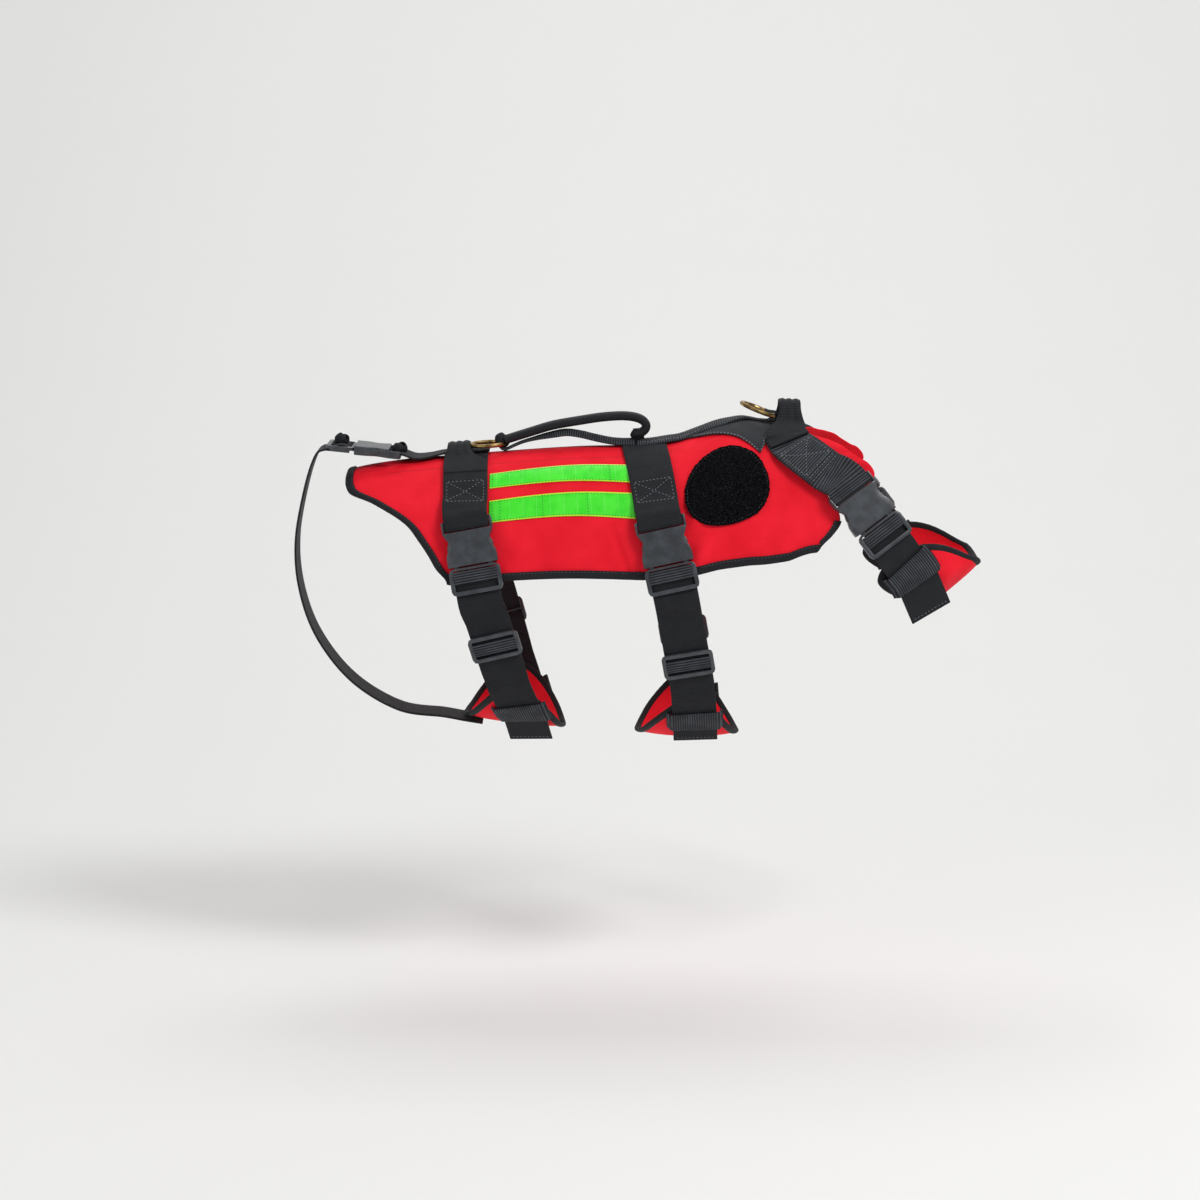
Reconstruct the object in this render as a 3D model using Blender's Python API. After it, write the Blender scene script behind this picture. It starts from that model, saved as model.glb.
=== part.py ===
"""Dog rescue harness, worn and hollow: saddle, straps, buckles, belly and chest pads.

+X points to the head, -Y to the near side, +Z up. The origin is on the back's ridge, under the
saddle. Lengths are in millimetres until a mesh is made, which is in metres.
"""

import bisect
import math
from collections import namedtuple

import bmesh
import bpy
from mathutils import Matrix, Vector

METRE = 0.001

# Driving sizes of the cloth and webbing
CLOTH = 1.6
SEAM_GAP = 0.3
LAY_GAP = 0.55
WEBBING_WIDTH = 45.0
WEBBING = 2.0
BINDING_WIDTH = 9.0
BINDING = 1.1
BINDING_TAPER = 0.7
STRIP = 0.8
PATCH_DIAMETER = 84.0
PATCH = 1.6
YOKE = 1.3
YOKE_GAP = 1.0
KEEPER_WIDTH = 25.0
KEEPER_GAP = 0.92
PAD = 4.6
PAD_RIM_SHARE = 0.62
PAD_LIFT = 0.8
PAD_CLEAR = 5.95
PAD_INSET = 7.2
PAD_BINDING = 8.0
PAD_BINDING_INNER = 6.24
RING_WIRE = 4.4
RING_DIAMETER = 40.0
HANDLE_WIDTH = 22.0
HANDLE_THICK = 8.0

# Side-release buckle and tri-glide, for 45 mm webbing
BUCKLE_WIDTH = 52.0
FEMALE_LENGTH = 42.0
FEMALE_WAIST = 43.0
FEMALE_THICK = 9.0
MALE_LENGTH = 28.0
RAIL = 4.6
GLIDE_LENGTH = 28.0
BAR_TOP = 2.4
BAR_BOTTOM = 0.1
RAIL_UNDER = 2.5
RAIL_TOP = 6.0

# The general figure that the cloth is cut for: a smooth barrel, closed by a blunt chest
Station = namedtuple("Station", "x top bottom half_width")
FIGURE = [
    Station(-330, -48, -215, 62),
    Station(-256, -21, -240, 80),
    Station(-205, -11.5, -256, 86),
    Station(-150, -6.5, -268, 90),
    Station(-100, -2.5, -276, 93),
    Station(-25, 2.5, -284, 96),
    Station(40, 4.5, -288, 98),
    Station(75, 9.5, -291, 98),
    Station(100, 18, -292, 98),
    Station(122, 26, -291, 97),
    Station(146, 29, -289, 96),
    Station(170, 25.5, -285, 95),
    Station(190, 24, -280, 94),
]
CHEST_X = 190.0
NOSE_X = 398.0
NOSE_Z = -100.0
NECK_POWER = 2.5
SIDE_POWER = 2.2

# Saddle outline: how far its rear and front edges reach at each share of the drop to the hem
Edge = namedtuple("Edge", "share rear front")
SADDLE_EDGES = [
    Edge(0.0, -256, 176),
    Edge(0.29, -253, 177),
    Edge(0.43, -226, 195),
    Edge(0.60, -194, 220),
    Edge(0.73, -179, 236),
    Edge(0.82, -170, 240),
    Edge(0.90, -163, 232),
    Edge(1.0, -152, 218),
]
Hem = namedtuple("Hem", "x drop")
SADDLE_HEM = [Hem(-152, 160), Hem(-96, 161), Hem(-40, 163), Hem(40, 167), Hem(125, 169), Hem(214, 162)]

# Soft troughs (negative) and ridges in the saddle: a spine along the drop, its depth and half width
Fold = namedtuple("Fold", "x lean drop_from drop_to height half_width")
FOLDS = [
    Fold(14, 0.16, 104, 168, -3.2, 13),
    Fold(-8, 0.05, 116, 168, 1.6, 16),
    Fold(98, -0.30, 98, 165, 2.0, 11),
    Fold(-182, 0.45, 60, 135, 1.8, 14),
    Fold(187, -0.35, 120, 162, 1.8, 13),
]

# Where each girth strap's centre line runs, by the angle round the barrel from the spine
Lean = namedtuple("Lean", "angle x")
REAR_GIRTH = [Lean(0, -136), Lean(33, -135.5), Lean(59, -133), Lean(77, -125), Lean(92, -118),
              Lean(108, -105), Lean(122, -97), Lean(140, -84), Lean(160, -73), Lean(180, -68)]
REAR_PAD_LINE = [Lean(0, -140), Lean(108, -104), Lean(140, -91), Lean(160, -88), Lean(180, -88)]
FRONT_GIRTH = [Lean(0, 46), Lean(13, 46), Lean(59, 60), Lean(75, 69), Lean(86, 75),
               Lean(108, 86), Lean(122, 92), Lean(140, 96), Lean(160, 98), Lean(180, 99)]
FRONT_PAD_LINE = [Lean(0, 50), Lean(108, 84), Lean(140, 90), Lean(160, 90), Lean(180, 90)]
# The chest strap's centre line in side view, from the withers down to its loose end
Drape = namedtuple("Drape", "x z")
CHEST_STRAP = [Drape(186, 24), Drape(188.6, 14.5), Drape(195.5, 5.5), Drape(207, -2.5), Drape(222, -12),
               Drape(258, -38), Drape(277, -64), Drape(297, -95), Drape(313, -114), Drape(326, -132)]
CHEST_PAD_LINE = [Drape(355, -137.5), Drape(354, -134.5), Drape(350, -129), Drape(339, -122),
                  Drape(318, -118), Drape(290, -119), Drape(262, -123), Drape(240, -128)]


def smooth(rows, key, value, at):
    """A smooth curve through the rows' values, level at the last row."""
    keys = [getattr(row, key) for row in rows]
    values = [getattr(row, value) for row in rows]
    last = len(rows) - 1
    if at <= keys[0]:
        return values[0] + (values[1] - values[0]) / (keys[1] - keys[0]) * (at - keys[0])
    if at >= keys[last]:
        return values[last]
    index = max(i for i in range(last) if keys[i] <= at)

    def slope(i):
        if i == last:
            return 0.0
        before = max(i - 1, 0)
        return (values[i + 1] - values[before]) / (keys[i + 1] - keys[before])

    span = keys[index + 1] - keys[index]
    t = (at - keys[index]) / span
    return (
        (2 * t**3 - 3 * t**2 + 1) * values[index]
        + (t**3 - 2 * t**2 + t) * slope(index) * span
        + (3 * t**2 - 2 * t**3) * values[index + 1]
        + (t**3 - t**2) * slope(index + 1) * span
    )


def ramp(at, low, high):
    """0 below low, 1 above high, and smooth between."""
    t = min(1.0, max(0.0, (at - low) / (high - low)))
    return t * t * (3 - 2 * t)


# ---------------------------------------------------------------- the figure's surface


def barrel(x):
    """Half width, height above and below the widest point, and that point's height, at x."""
    inside = min(x, CHEST_X)
    top = smooth(FIGURE, "x", "top", inside)
    bottom = smooth(FIGURE, "x", "bottom", inside)
    half_width = smooth(FIGURE, "x", "half_width", inside)
    middle, half_height = (top + bottom) / 2, (top - bottom) / 2
    if x <= CHEST_X:
        return half_width, half_height, half_height, middle
    along = min(0.999, (x - CHEST_X) / (NOSE_X - CHEST_X))
    middle += (NOSE_Z - middle) * along
    above = half_height * (1 - along**NECK_POWER) ** (1 / NECK_POWER)
    half_width *= (1 - along**SIDE_POWER) ** (1 / SIDE_POWER)
    return half_width, above, half_height * (1 - along), middle


def outside(p):
    """Zero on the figure's surface, positive outside it."""
    half_width, above, below, middle = barrel(p[0])
    height = p[2] - middle
    return math.hypot(p[1] / half_width, height / (above if height > 0 else below)) - 1


def gradient(p, step=0.5):
    found = []
    for axis in range(3):
        offset = Vector((0, 0, 0))
        offset[axis] = step
        found.append((outside(p + offset) - outside(p - offset)) / (2 * step))
    return Vector(found)


def seat(p, height=0.0):
    """The point moved on to the figure, and then out by the height."""
    p = Vector(p)
    for _ in range(6):
        slope = gradient(p)
        p = p - slope * (outside(p) / slope.length_squared)
    return p + gradient(p).normalized() * height


def section(x, angle):
    """The figure's point at this angle from the spine, positive on the near side."""
    half_width, above, below, middle = barrel(x)
    rise = math.cos(angle)
    return Vector((x, -half_width * math.sin(angle), middle + (above if rise > 0 else below) * rise))


def dropped(x, drop, height=0.0):
    """The point this far down the cloth from the spine; the near side is positive."""
    step = math.radians(2.0)
    angle, run, here = 0.0, 0.0, section(x, 0.0)
    while True:
        there = section(x, angle + step)
        length = (there - here).length
        if run + length >= abs(drop):
            angle += step * (abs(drop) - run) / length
            break
        angle, run, here = angle + step, run + length, there
    p = section(x, math.copysign(angle, drop))
    return p + gradient(p).normalized() * height


def fold_height(x, drop):
    """How far the saddle's cloth stands off its plain form here."""
    total = 0.0
    for fold in FOLDS:
        middle = fold.x + fold.lean * (abs(drop) - fold.drop_to)
        across = (x - middle) / fold.half_width
        along = ramp(abs(drop), fold.drop_from, fold.drop_from + 0.6 * (fold.drop_to - fold.drop_from))
        total += fold.height * along * math.exp(-across * across)
    return total


def on_saddle(x, drop, height):
    """A point on the saddle's cloth; height 0 is its inner face."""
    return dropped(x, drop, 0.4 + height + fold_height(x, drop))


# ---------------------------------------------------------------- routes for webbing


class Route:
    """A line round the figure, from the spine down the near side, at the webbing's underside.

    It rises over a pad that reaches pad_reach from its end, is straight at each rigid buckle, and
    leaves the figure in a straight tail that hangs from leave on.
    """

    SPACING = 2.0
    EASE = 12

    def __init__(self, points, lifts, flats=(), pad_reach=0.0, pad_top=0.0, leave=None, sag=0.0):
        base = [Vector(points[0])]
        for p in points[1:]:
            while (Vector(p) - base[-1]).length >= self.SPACING:
                base.append(base[-1] + (Vector(p) - base[-1]).normalized() * self.SPACING)
        base = [seat(p) for p in base]
        base[0].y = 0.0
        self.run = [0.0]
        for a, b in zip(base, base[1:]):
            self.run.append(self.run[-1] + (b - a).length)
        self.length = self.run[-1]
        pad_edge = self.length - pad_reach
        self.normals = [gradient(p).normalized() for p in base]
        self.points = [
            p + n * max(smooth(lifts, "run", "lift", r), pad_top * ramp(r, pad_edge - 26, pad_edge - 6))
            for p, n, r in zip(base, self.normals, self.run)
        ]
        for flat in flats:
            self.flatten(flat)
        self.leave, self.tail = None, None
        if leave is not None:
            _, along, across, _ = self.frame(leave)
            self.tail = (along + Vector((0, 0, -sag))).normalized()
            self.leave = leave

    def flatten(self, flat):
        """Makes one stretch straight, where a rigid buckle bridges the figure's curve."""
        start, end = self.index(flat.start), self.index(flat.end)
        a, b = self.points[start].copy(), self.points[end].copy()
        normal = (self.normals[start] + self.normals[end]).normalized()
        bulge = max((p - a.lerp(b, i / (end - start))).dot(normal)
                    for i, p in enumerate(self.points[start:end + 1]))
        a, b = a + normal * bulge, b + normal * bulge
        normal = (normal - (b - a) * (normal.dot(b - a) / (b - a).length_squared)).normalized()
        for i in range(max(0, start - self.EASE), min(len(self.points), end + self.EASE + 1)):
            line = a + (b - a) * ((i - start) / (end - start))
            inside = min(ramp(i, start - self.EASE, start), 1 - ramp(i, end, end + self.EASE))
            self.points[i] = self.points[i].lerp(line, inside)
            self.normals[i] = self.normals[i].lerp(normal, inside).normalized()

    def index(self, s):
        return min(range(len(self.run)), key=lambda i: abs(self.run[i] - s))

    def near(self, s, values):
        s = min(max(s, 0.0), self.length)
        i = max(0, min(bisect.bisect_right(self.run, s) - 1, len(self.run) - 2))
        return values[i].lerp(values[i + 1], (s - self.run[i]) / (self.run[i + 1] - self.run[i]))

    def point(self, s):
        if self.leave is not None and s > self.leave:
            return self.near(self.leave, self.points) + self.tail * (s - self.leave)
        p = self.near(abs(s), self.points)
        return Vector((p.x, -p.y, p.z)) if s < 0 else p

    def frame(self, s):
        """Point, direction along, direction across and outward normal."""
        n = self.near(min(abs(s), self.leave or self.length), self.normals)
        n = Vector((n.x, -n.y, n.z)) if s < 0 else n
        along = (self.point(s + 1.0) - self.point(s - 1.0)).normalized()
        across = n.cross(along).normalized()
        return self.point(s), along, across, along.cross(across)

    def at(self, s, across, height):
        p, _, b, n = self.frame(s)
        return p + b * across + n * height

    def matrix(self, s):
        """Local X across the webbing, local Y along it, and local Z out."""
        p, along, across, normal = self.frame(s)
        turn = Matrix((across, along, normal)).transposed().to_4x4()
        turn.translation = p
        return turn


Lift = namedtuple("Lift", "run lift")
Flat = namedtuple("Flat", "start end")


def girth_points(leans):
    degrees = range(0, 181, 3)
    return [section(smooth(leans, "angle", "x", d), math.radians(d)) for d in degrees]


def near_side(x, z):
    """The point of the figure's near side that is seen here in side view."""
    half_width, above, below, middle = barrel(x)
    height = z - middle
    tall = min(1.0, abs(height) / (above if height > 0 else below))
    return Vector((x, -half_width * math.sqrt(1 - tall * tall), z))


def side_view_points(rows, count=48):
    """Points on the figure's near side along a line drawn in side view; the first is at the middle."""
    first, last = rows[0], rows[-1]
    ordered = sorted(rows, key=lambda row: row.x)
    found = []
    for i in range(count + 1):
        x = first.x + (last.x - first.x) * (1 - math.cos(i / count * math.pi / 2))
        found.append(near_side(x, smooth(ordered, "x", "z", x)))
    found[0].y = 0.0
    return found


PadShape = namedtuple("PadShape", "half_length half_width power keeper keeper_half")
PADS = {
    "rear": PadShape(90.0, 53.0, 1.6, 314.0, 33.0),
    "front": PadShape(91.0, 54.0, 1.6, 331.0, 33.0),
    "chest": PadShape(138.0, 48.0, 3.0, 226.0, 33.0),
}
REAR_FEMALE = 103.0
FRONT_FEMALE = 116.0
CHEST_FEMALE = 124.0
REAR_GLIDE = 214.0
FRONT_GLIDE = 246.0


def buckle_flat(female):
    return Flat(female - 6, female + FEMALE_LENGTH + MALE_LENGTH + 4)


def glide_flat(glide):
    return Flat(glide - 6, glide + GLIDE_LENGTH + 6)


ROUTES = {
    "rear": Route(
        girth_points(REAR_GIRTH),
        [Lift(0, 3.0), Lift(95, 3.0), Lift(140, 4.8), Lift(175, 3.8), Lift(205, 2.2), Lift(400, 2.4)],
        [buckle_flat(REAR_FEMALE), glide_flat(REAR_GLIDE)],
        PADS["rear"].half_length, PAD_CLEAR, 326.0, 0.45,
    ),
    "front": Route(
        girth_points(FRONT_GIRTH),
        [Lift(0, 3.7), Lift(110, 3.8), Lift(150, 5.6), Lift(188, 4.2), Lift(215, 2.2), Lift(400, 2.4)],
        [buckle_flat(FRONT_FEMALE), glide_flat(FRONT_GLIDE)],
        PADS["front"].half_length, PAD_CLEAR, 340.0, 0.3,
    ),
    "chest": Route(
        side_view_points(CHEST_STRAP),
        [Lift(0, 6.1), Lift(46, 6.1), Lift(66, 7.8), Lift(92, 6.6), Lift(150, 6.0), Lift(172, PAD_CLEAR),
         Lift(260, PAD_CLEAR)],
        [buckle_flat(CHEST_FEMALE)], leave=240.0, sag=0.2,
    ),
}


# ---------------------------------------------------------------- building closed walls


def material(name, colour, roughness, metallic=0.0):
    made = bpy.data.materials.get(name)
    if made:
        return made
    made = bpy.data.materials.new(name)
    made.use_nodes = True
    shader = made.node_tree.nodes["Principled BSDF"]
    shader.inputs["Base Color"].default_value = (*colour, 1.0)
    shader.inputs["Roughness"].default_value = roughness
    shader.inputs["Metallic"].default_value = metallic
    return made


FINISHES = {
    "red_nylon": ((0.80, 0.012, 0.030), 0.70, 0.0),
    "black_binding": ((0.018, 0.019, 0.023), 0.85, 0.0),
    "black_webbing": ((0.022, 0.024, 0.029), 0.75, 0.0),
    "black_yoke": ((0.025, 0.027, 0.032), 0.80, 0.0),
    "lime_tape": ((0.10, 0.95, 0.05), 0.50, 0.0),
    "loop_pile": ((0.010, 0.010, 0.012), 0.95, 0.0),
    "acetal": ((0.040, 0.044, 0.050), 0.38, 0.0),
    "antique_brass": ((0.34, 0.25, 0.12), 0.35, 1.0),
}


def place(name, mesh, finish, matrix=None):
    mesh.materials.clear()
    mesh.materials.append(material(finish, *FINISHES[finish]))
    mesh.shade_smooth()
    mesh.set_sharp_from_angle(angle=math.radians(38))
    obj = bpy.data.objects.new(name, mesh)
    if matrix is not None:
        scaled = matrix.copy()
        scaled.translation = matrix.translation * METRE
        obj.matrix_world = scaled
    bpy.context.scene.collection.objects.link(obj)
    return obj


def mesh_of(name, bm):
    bmesh.ops.scale(bm, vec=(METRE, METRE, METRE), verts=bm.verts)
    bmesh.ops.recalc_face_normals(bm, faces=bm.faces)
    mesh = bpy.data.meshes.new(name)
    bm.to_mesh(mesh)
    bm.free()
    return mesh


def wall(name, finish, rows, closed=False):
    """A closed wall from rows of (inner, outer) point pairs; a closed wall's last row meets its first."""
    bm = bmesh.new()
    inner = [[bm.verts.new(pair[0]) for pair in row] for row in rows]
    outer = [[bm.verts.new(pair[1]) for pair in row] for row in rows]
    count = len(rows)
    for i in range(count if closed else count - 1):
        j = (i + 1) % count
        for k in range(len(rows[0]) - 1):
            bm.faces.new((outer[i][k], outer[i][k + 1], outer[j][k + 1], outer[j][k]))
            bm.faces.new((inner[i][k], inner[j][k], inner[j][k + 1], inner[i][k + 1]))
        for k in (0, len(rows[0]) - 1):
            bm.faces.new((inner[i][k], inner[j][k], outer[j][k], outer[i][k]))
    if not closed:
        for i in (0, count - 1):
            for k in range(len(rows[0]) - 1):
                bm.faces.new((inner[i][k], inner[i][k + 1], outer[i][k + 1], outer[i][k]))
    return place(name, mesh_of(name, bm), finish)


def tube(name, finish, rings, closed=False):
    """A closed body through rings of points."""
    bm = bmesh.new()
    made = [[bm.verts.new(p) for p in ring] for ring in rings]
    count, sides = len(rings), len(rings[0])
    for i in range(count if closed else count - 1):
        j = (i + 1) % count
        for k in range(sides):
            m = (k + 1) % sides
            bm.faces.new((made[i][k], made[i][m], made[j][m], made[j][k]))
    if not closed:
        bm.faces.new(made[0])
        bm.faces.new(made[-1][::-1])
    return place(name, mesh_of(name, bm), finish)


def steps(start, end, step, *also):
    """Evenly spread values from start to end, with the extra ones between them."""
    count = max(1, math.ceil(abs(end - start) / step))
    even = [start + (end - start) * i / count for i in range(count + 1)]
    extra = [v for v in also if min(start, end) < v < max(start, end)]
    kept = [v for v in even if all(abs(v - e) > 0.3 * step for e in extra)]
    kept = sorted(set(kept + extra + [start, end]))
    return kept if start < end else kept[::-1]


def mirrored(p):
    return Vector((p[0], -p[1], p[2]))


SIDES = {"right": lambda p: p, "left": mirrored}


# ---------------------------------------------------------------- saddle, binding, yoke, neck


SADDLE_V = [0.0, 0.10, 0.22, 0.34, 0.46, 0.58, 0.69, 0.79, 0.88, 0.945, 1.0]


def saddle_point(u, v, height):
    """u runs from the rear edge to the front, v from the spine (0) to the hem (1), signed."""
    share = abs(v)
    rear = smooth(SADDLE_EDGES, "share", "rear", share)
    front = smooth(SADDLE_EDGES, "share", "front", share)
    x = rear + (front - rear) * u
    drop = share * smooth(SADDLE_HEM, "x", "drop", max(x, SADDLE_HEM[0].x))
    return on_saddle(x, math.copysign(drop, v), height)


# One millimetre of the saddle, as a share of its length and of its drop
RIM_U = 1 / 360
RIM_V = 1 / 165
HEM_U = steps(0.0, 1.0, 1 / 28)
SADDLE_U = steps(0.0, 1.0, 1 / 28, BINDING_WIDTH * RIM_U, 1 - BINDING_WIDTH * RIM_U)


def saddle():
    across = [-v for v in SADDLE_V[:0:-1]] + SADDLE_V
    rows = [[(saddle_point(u, v, 0.0), saddle_point(u, v, CLOTH)) for v in across] for u in SADDLE_U]
    wall("back_panel", "red_nylon", rows)


def binding():
    """Tape folded over the saddle's edge: the front corners, the hem and the rear."""
    outer = CLOTH + LAY_GAP + BINDING
    fold = -LAY_GAP - BINDING
    outline = [
        (BINDING_WIDTH, CLOTH + LAY_GAP), (BINDING_WIDTH, outer), (fold, outer - BINDING_TAPER),
        (fold, BINDING_TAPER - LAY_GAP - BINDING), (BINDING_WIDTH, -LAY_GAP - BINDING),
        (BINDING_WIDTH, -LAY_GAP),
        (-LAY_GAP, -LAY_GAP), (-LAY_GAP, CLOTH + LAY_GAP),
    ]
    front = [(1.0, v) for v in SADDLE_V if v > 0.85][:-1]
    near = front + [(u, 1.0) for u in reversed(HEM_U)] + [(0.0, v) for v in SADDLE_V[-2:0:-1]]
    edge = near + [(0.0, 0.0)] + [(u, -v) for u, v in reversed(near)]
    rings = []
    for u, v in edge:
        to_middle = {0.0: RIM_U, 1.0: -RIM_U}.get(u, 0.0)
        to_spine = -math.copysign(RIM_V, v) if abs(v) == 1.0 else 0.0
        rings.append([
            saddle_point(u + to_middle * across, v + to_spine * across, height) for across, height in outline
        ])
    tube("panel_binding", "black_binding", rings)


Outline = namedtuple("Outline", "drop rear front")
YOKE_OUTLINE = [Outline(0, 74, 184), Outline(14, 84, 182), Outline(26, 110, 176.5), Outline(38, 136, 168),
                Outline(47, 148, 166), Outline(53, 155, 163), Outline(58, 160, 161.5)]


def yoke():
    """The dark cloth over the withers, stitched on the saddle."""
    drops = steps(0.0, YOKE_OUTLINE[-1].drop, 11.7)
    across = [-d for d in drops[:0:-1]] + drops
    rows = []
    for u in steps(0.0, 1.0, 1 / 7):
        row = []
        for drop in across:
            rear = smooth(YOKE_OUTLINE, "drop", "rear", abs(drop))
            front = smooth(YOKE_OUTLINE, "drop", "front", abs(drop))
            x = rear + (front - rear) * u
            low = CLOTH + YOKE_GAP
            row.append((on_saddle(x, drop, low), on_saddle(x, drop, low + YOKE)))
        rows.append(row)
    wall("withers_yoke", "black_yoke", rows)


Frill = namedtuple("Frill", "share x z")
# The neck piece's free edge in side view, from the withers down to the socket
NECK_EDGE = [Frill(0.0, 205, 17.5), Frill(0.15, 218, 17.5), Frill(0.3, 232, 14.0), Frill(0.45, 246, 7.5),
             Frill(0.62, 260, -1.0), Frill(0.8, 272, -9.5), Frill(0.92, 275, -18.0), Frill(1.0, 268, -26.0)]
NECK_FROM = 32.0
NECK_TO = 124.0
NECK_REAR = -6.0
NECK_UNDER_STRAP = 2.0
NECK_FREE = 2.2
RUFFLES = 4
RUFFLE_HEIGHT = 1.7


def neck_panel(side):
    """The red piece before the chest strap, gathered into waves along its front edge."""
    route, turn = ROUTES["chest"], SIDES[side]
    rows = []
    for t in steps(0.0, 1.0, 1 / 28):
        rear = route.at(NECK_FROM + (NECK_TO - NECK_FROM) * t, NECK_REAR, 0.0)
        front = near_side(smooth(NECK_EDGE, "share", "x", t), smooth(NECK_EDGE, "share", "z", t))
        reach = (front - rear).length
        wave = RUFFLE_HEIGHT * math.sin(2 * math.pi * RUFFLES * t)
        row = []
        for share in (0.0, 0.6, 0.8, 1.0):
            free = ramp(NECK_REAR + reach * share, BUCKLE_WIDTH / 2, BUCKLE_WIDTH / 2 + 10)
            base = rear.lerp(front, share)
            height = NECK_UNDER_STRAP + free * (NECK_FREE - NECK_UNDER_STRAP + wave)
            row.append((turn(seat(base, height)), turn(seat(base, height + CLOTH))))
        rows.append(row)
    wall(f"neck_panel_{side}", "red_nylon", rows)


# ---------------------------------------------------------------- strips and round patches


Strip = namedtuple("Strip", "name rear_top front_top depth")
STRIPS = [Strip("upper", 48.5, 47.5, 20.0), Strip("lower", 80.5, 82.0, 25.0)]


def strip(row, side):
    turn = SIDES[side]
    rear_edge, front_edge = -111.0, 17.0
    rows = []
    for t in steps(0.0, 1.0, 0.1):
        top = row.rear_top + (row.front_top - row.rear_top) * t - 4.0 * math.sin(math.pi * t * 0.9)
        line = []
        for share in (0.0, 0.5, 1.0):
            drop = top + row.depth * share
            x = rear_edge + (front_edge + 0.09 * drop - rear_edge) * t
            low = CLOTH + LAY_GAP
            line.append((turn(on_saddle(x, drop, low)), turn(on_saddle(x, drop, low + STRIP))))
        rows.append(line)
    wall(f"lime_strip_{row.name}_{side}", "lime_tape", rows)


PATCH_X = 127.5
PATCH_DROP = 93.0


def patch(side):
    turn = SIDES[side]
    low, radius, sides = CLOTH + LAY_GAP, PATCH_DIAMETER / 2, 28

    def disc_point(share, angle, height):
        x = PATCH_X + radius * share * math.cos(angle)
        return turn(on_saddle(x, PATCH_DROP - radius * share * math.sin(angle), height))

    bm = bmesh.new()
    layers = []
    for height in (low, low + PATCH):
        middle = bm.verts.new(disc_point(0.0, 0.0, height))
        rings = [
            [bm.verts.new(disc_point(share, 2 * math.pi * k / sides, height)) for k in range(sides)]
            for share in (0.5, 1.0)
        ]
        for k in range(sides):
            m = (k + 1) % sides
            bm.faces.new((middle, rings[0][k], rings[0][m]))
            bm.faces.new((rings[0][k], rings[1][k], rings[1][m], rings[0][m]))
        layers.append(rings[1])
    for k in range(sides):
        m = (k + 1) % sides
        bm.faces.new((layers[0][k], layers[0][m], layers[1][m], layers[1][k]))
    place(f"round_patch_{side}", mesh_of("round_patch", bm), "loop_pile")


# ---------------------------------------------------------------- webbing on the routes


def webbing(name, route, start, end, heights, side="right", width=None, thick=WEBBING, step=12.0,
            also=(), shift=None, columns=(-1.0, 0.0, 1.0)):
    """A band along a route. heights gives its underside over the route, width its half width."""
    turn = SIDES[side]
    rows = []
    for s in steps(start, end, step, *also):
        low = heights(s)
        half = width(s) if width else WEBBING_WIDTH / 2
        middle = shift(s) if shift else 0.0
        high = low + (thick(s) if callable(thick) else thick)
        rows.append([(turn(route.at(s, middle + c * half, low)), turn(route.at(s, middle + c * half, high)))
                     for c in columns])
    return wall(name, "black_webbing", rows)


FOLD_BACK = 60.0
HEM_RISE = 4.2


def upper_girth(which, female):
    """One band over the back, folded back on itself above each buckle."""
    end = female + 9.0

    def thick(s):
        return WEBBING + WEBBING * ramp(abs(s), end - FOLD_BACK - 3, end - FOLD_BACK)

    def rise(s):
        return HEM_RISE * ramp(abs(s), end - 17, end - 9)

    marks = [end - FOLD_BACK - 3, end - FOLD_BACK, end - 17, end - 13, end - 9]
    webbing(f"girth_strap_{which}", ROUTES[which], -end, end, rise, thick=thick,
            also=marks + [-m for m in marks])


def upper_chest():
    """One band over the withers, gathered narrow before the ring, folded back above each buckle."""
    end = CHEST_FEMALE + 9.0

    def thick(s):
        return WEBBING + WEBBING * ramp(abs(s), 49, 52)

    def rise(s):
        return HEM_RISE * ramp(abs(s), end - 17, end - 9)

    def half(s):
        return WEBBING_WIDTH / 2 - 16.0 * (1 - ramp(abs(s), 12, 34))

    def ahead(s):
        return 14.0 * (1 - ramp(abs(s), 12, 34))

    marks = [12, 18, 23, 28, 34, 49, 52, end - 17, end - 13, end - 9]
    webbing("chest_strap_upper", ROUTES["chest"], -end, end, rise, thick=thick, step=9.0, width=half,
            shift=ahead, also=marks + [-m for m in marks])


Lower = namedtuple("Lower", "route female glide end")
LOWER = {
    "rear": Lower("rear", REAR_FEMALE, REAR_GLIDE, 358.0),
    "front": Lower("front", FRONT_FEMALE, FRONT_GLIDE, 362.0),
    "chest": Lower("chest", CHEST_FEMALE, None, 277.0),
}
BAR_AT = 9.0
OVER_BAR = BAR_TOP + SEAM_GAP


def lower_strap(which, side):
    """From the fold round the buckle's bar, through the tri-glide, under the pad's keeper."""
    row = LOWER[which]
    route = ROUTES[row.route]
    male = row.female + FEMALE_LENGTH
    end = row.end
    keeper_at = PADS[which].keeper
    marks = [male + v for v in (BAR_AT - 4, BAR_AT + 3, BAR_AT + 8, BAR_AT + 13)]
    marks += [keeper_at - KEEPER_WIDTH / 2, keeper_at, keeper_at + KEEPER_WIDTH / 2]
    if row.glide:
        centre = row.glide + GLIDE_LENGTH / 2
        marks += [centre + v for v in (-10, -6, -3, 3, 6, 10)]

    def over_bars(s):
        height = OVER_BAR * (1 - ramp(s, male + BAR_AT + 3, male + BAR_AT + 13))
        if row.glide:
            height += OVER_BAR * (1 - ramp(abs(s - centre), 3, 10))
        return height

    webbing(f"{which}_strap_lower_{side}", route, male + BAR_AT - 4, end, over_bars, side,
            step=14.0, also=marks)


# ---------------------------------------------------------------- pads, their binding and keepers


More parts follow.
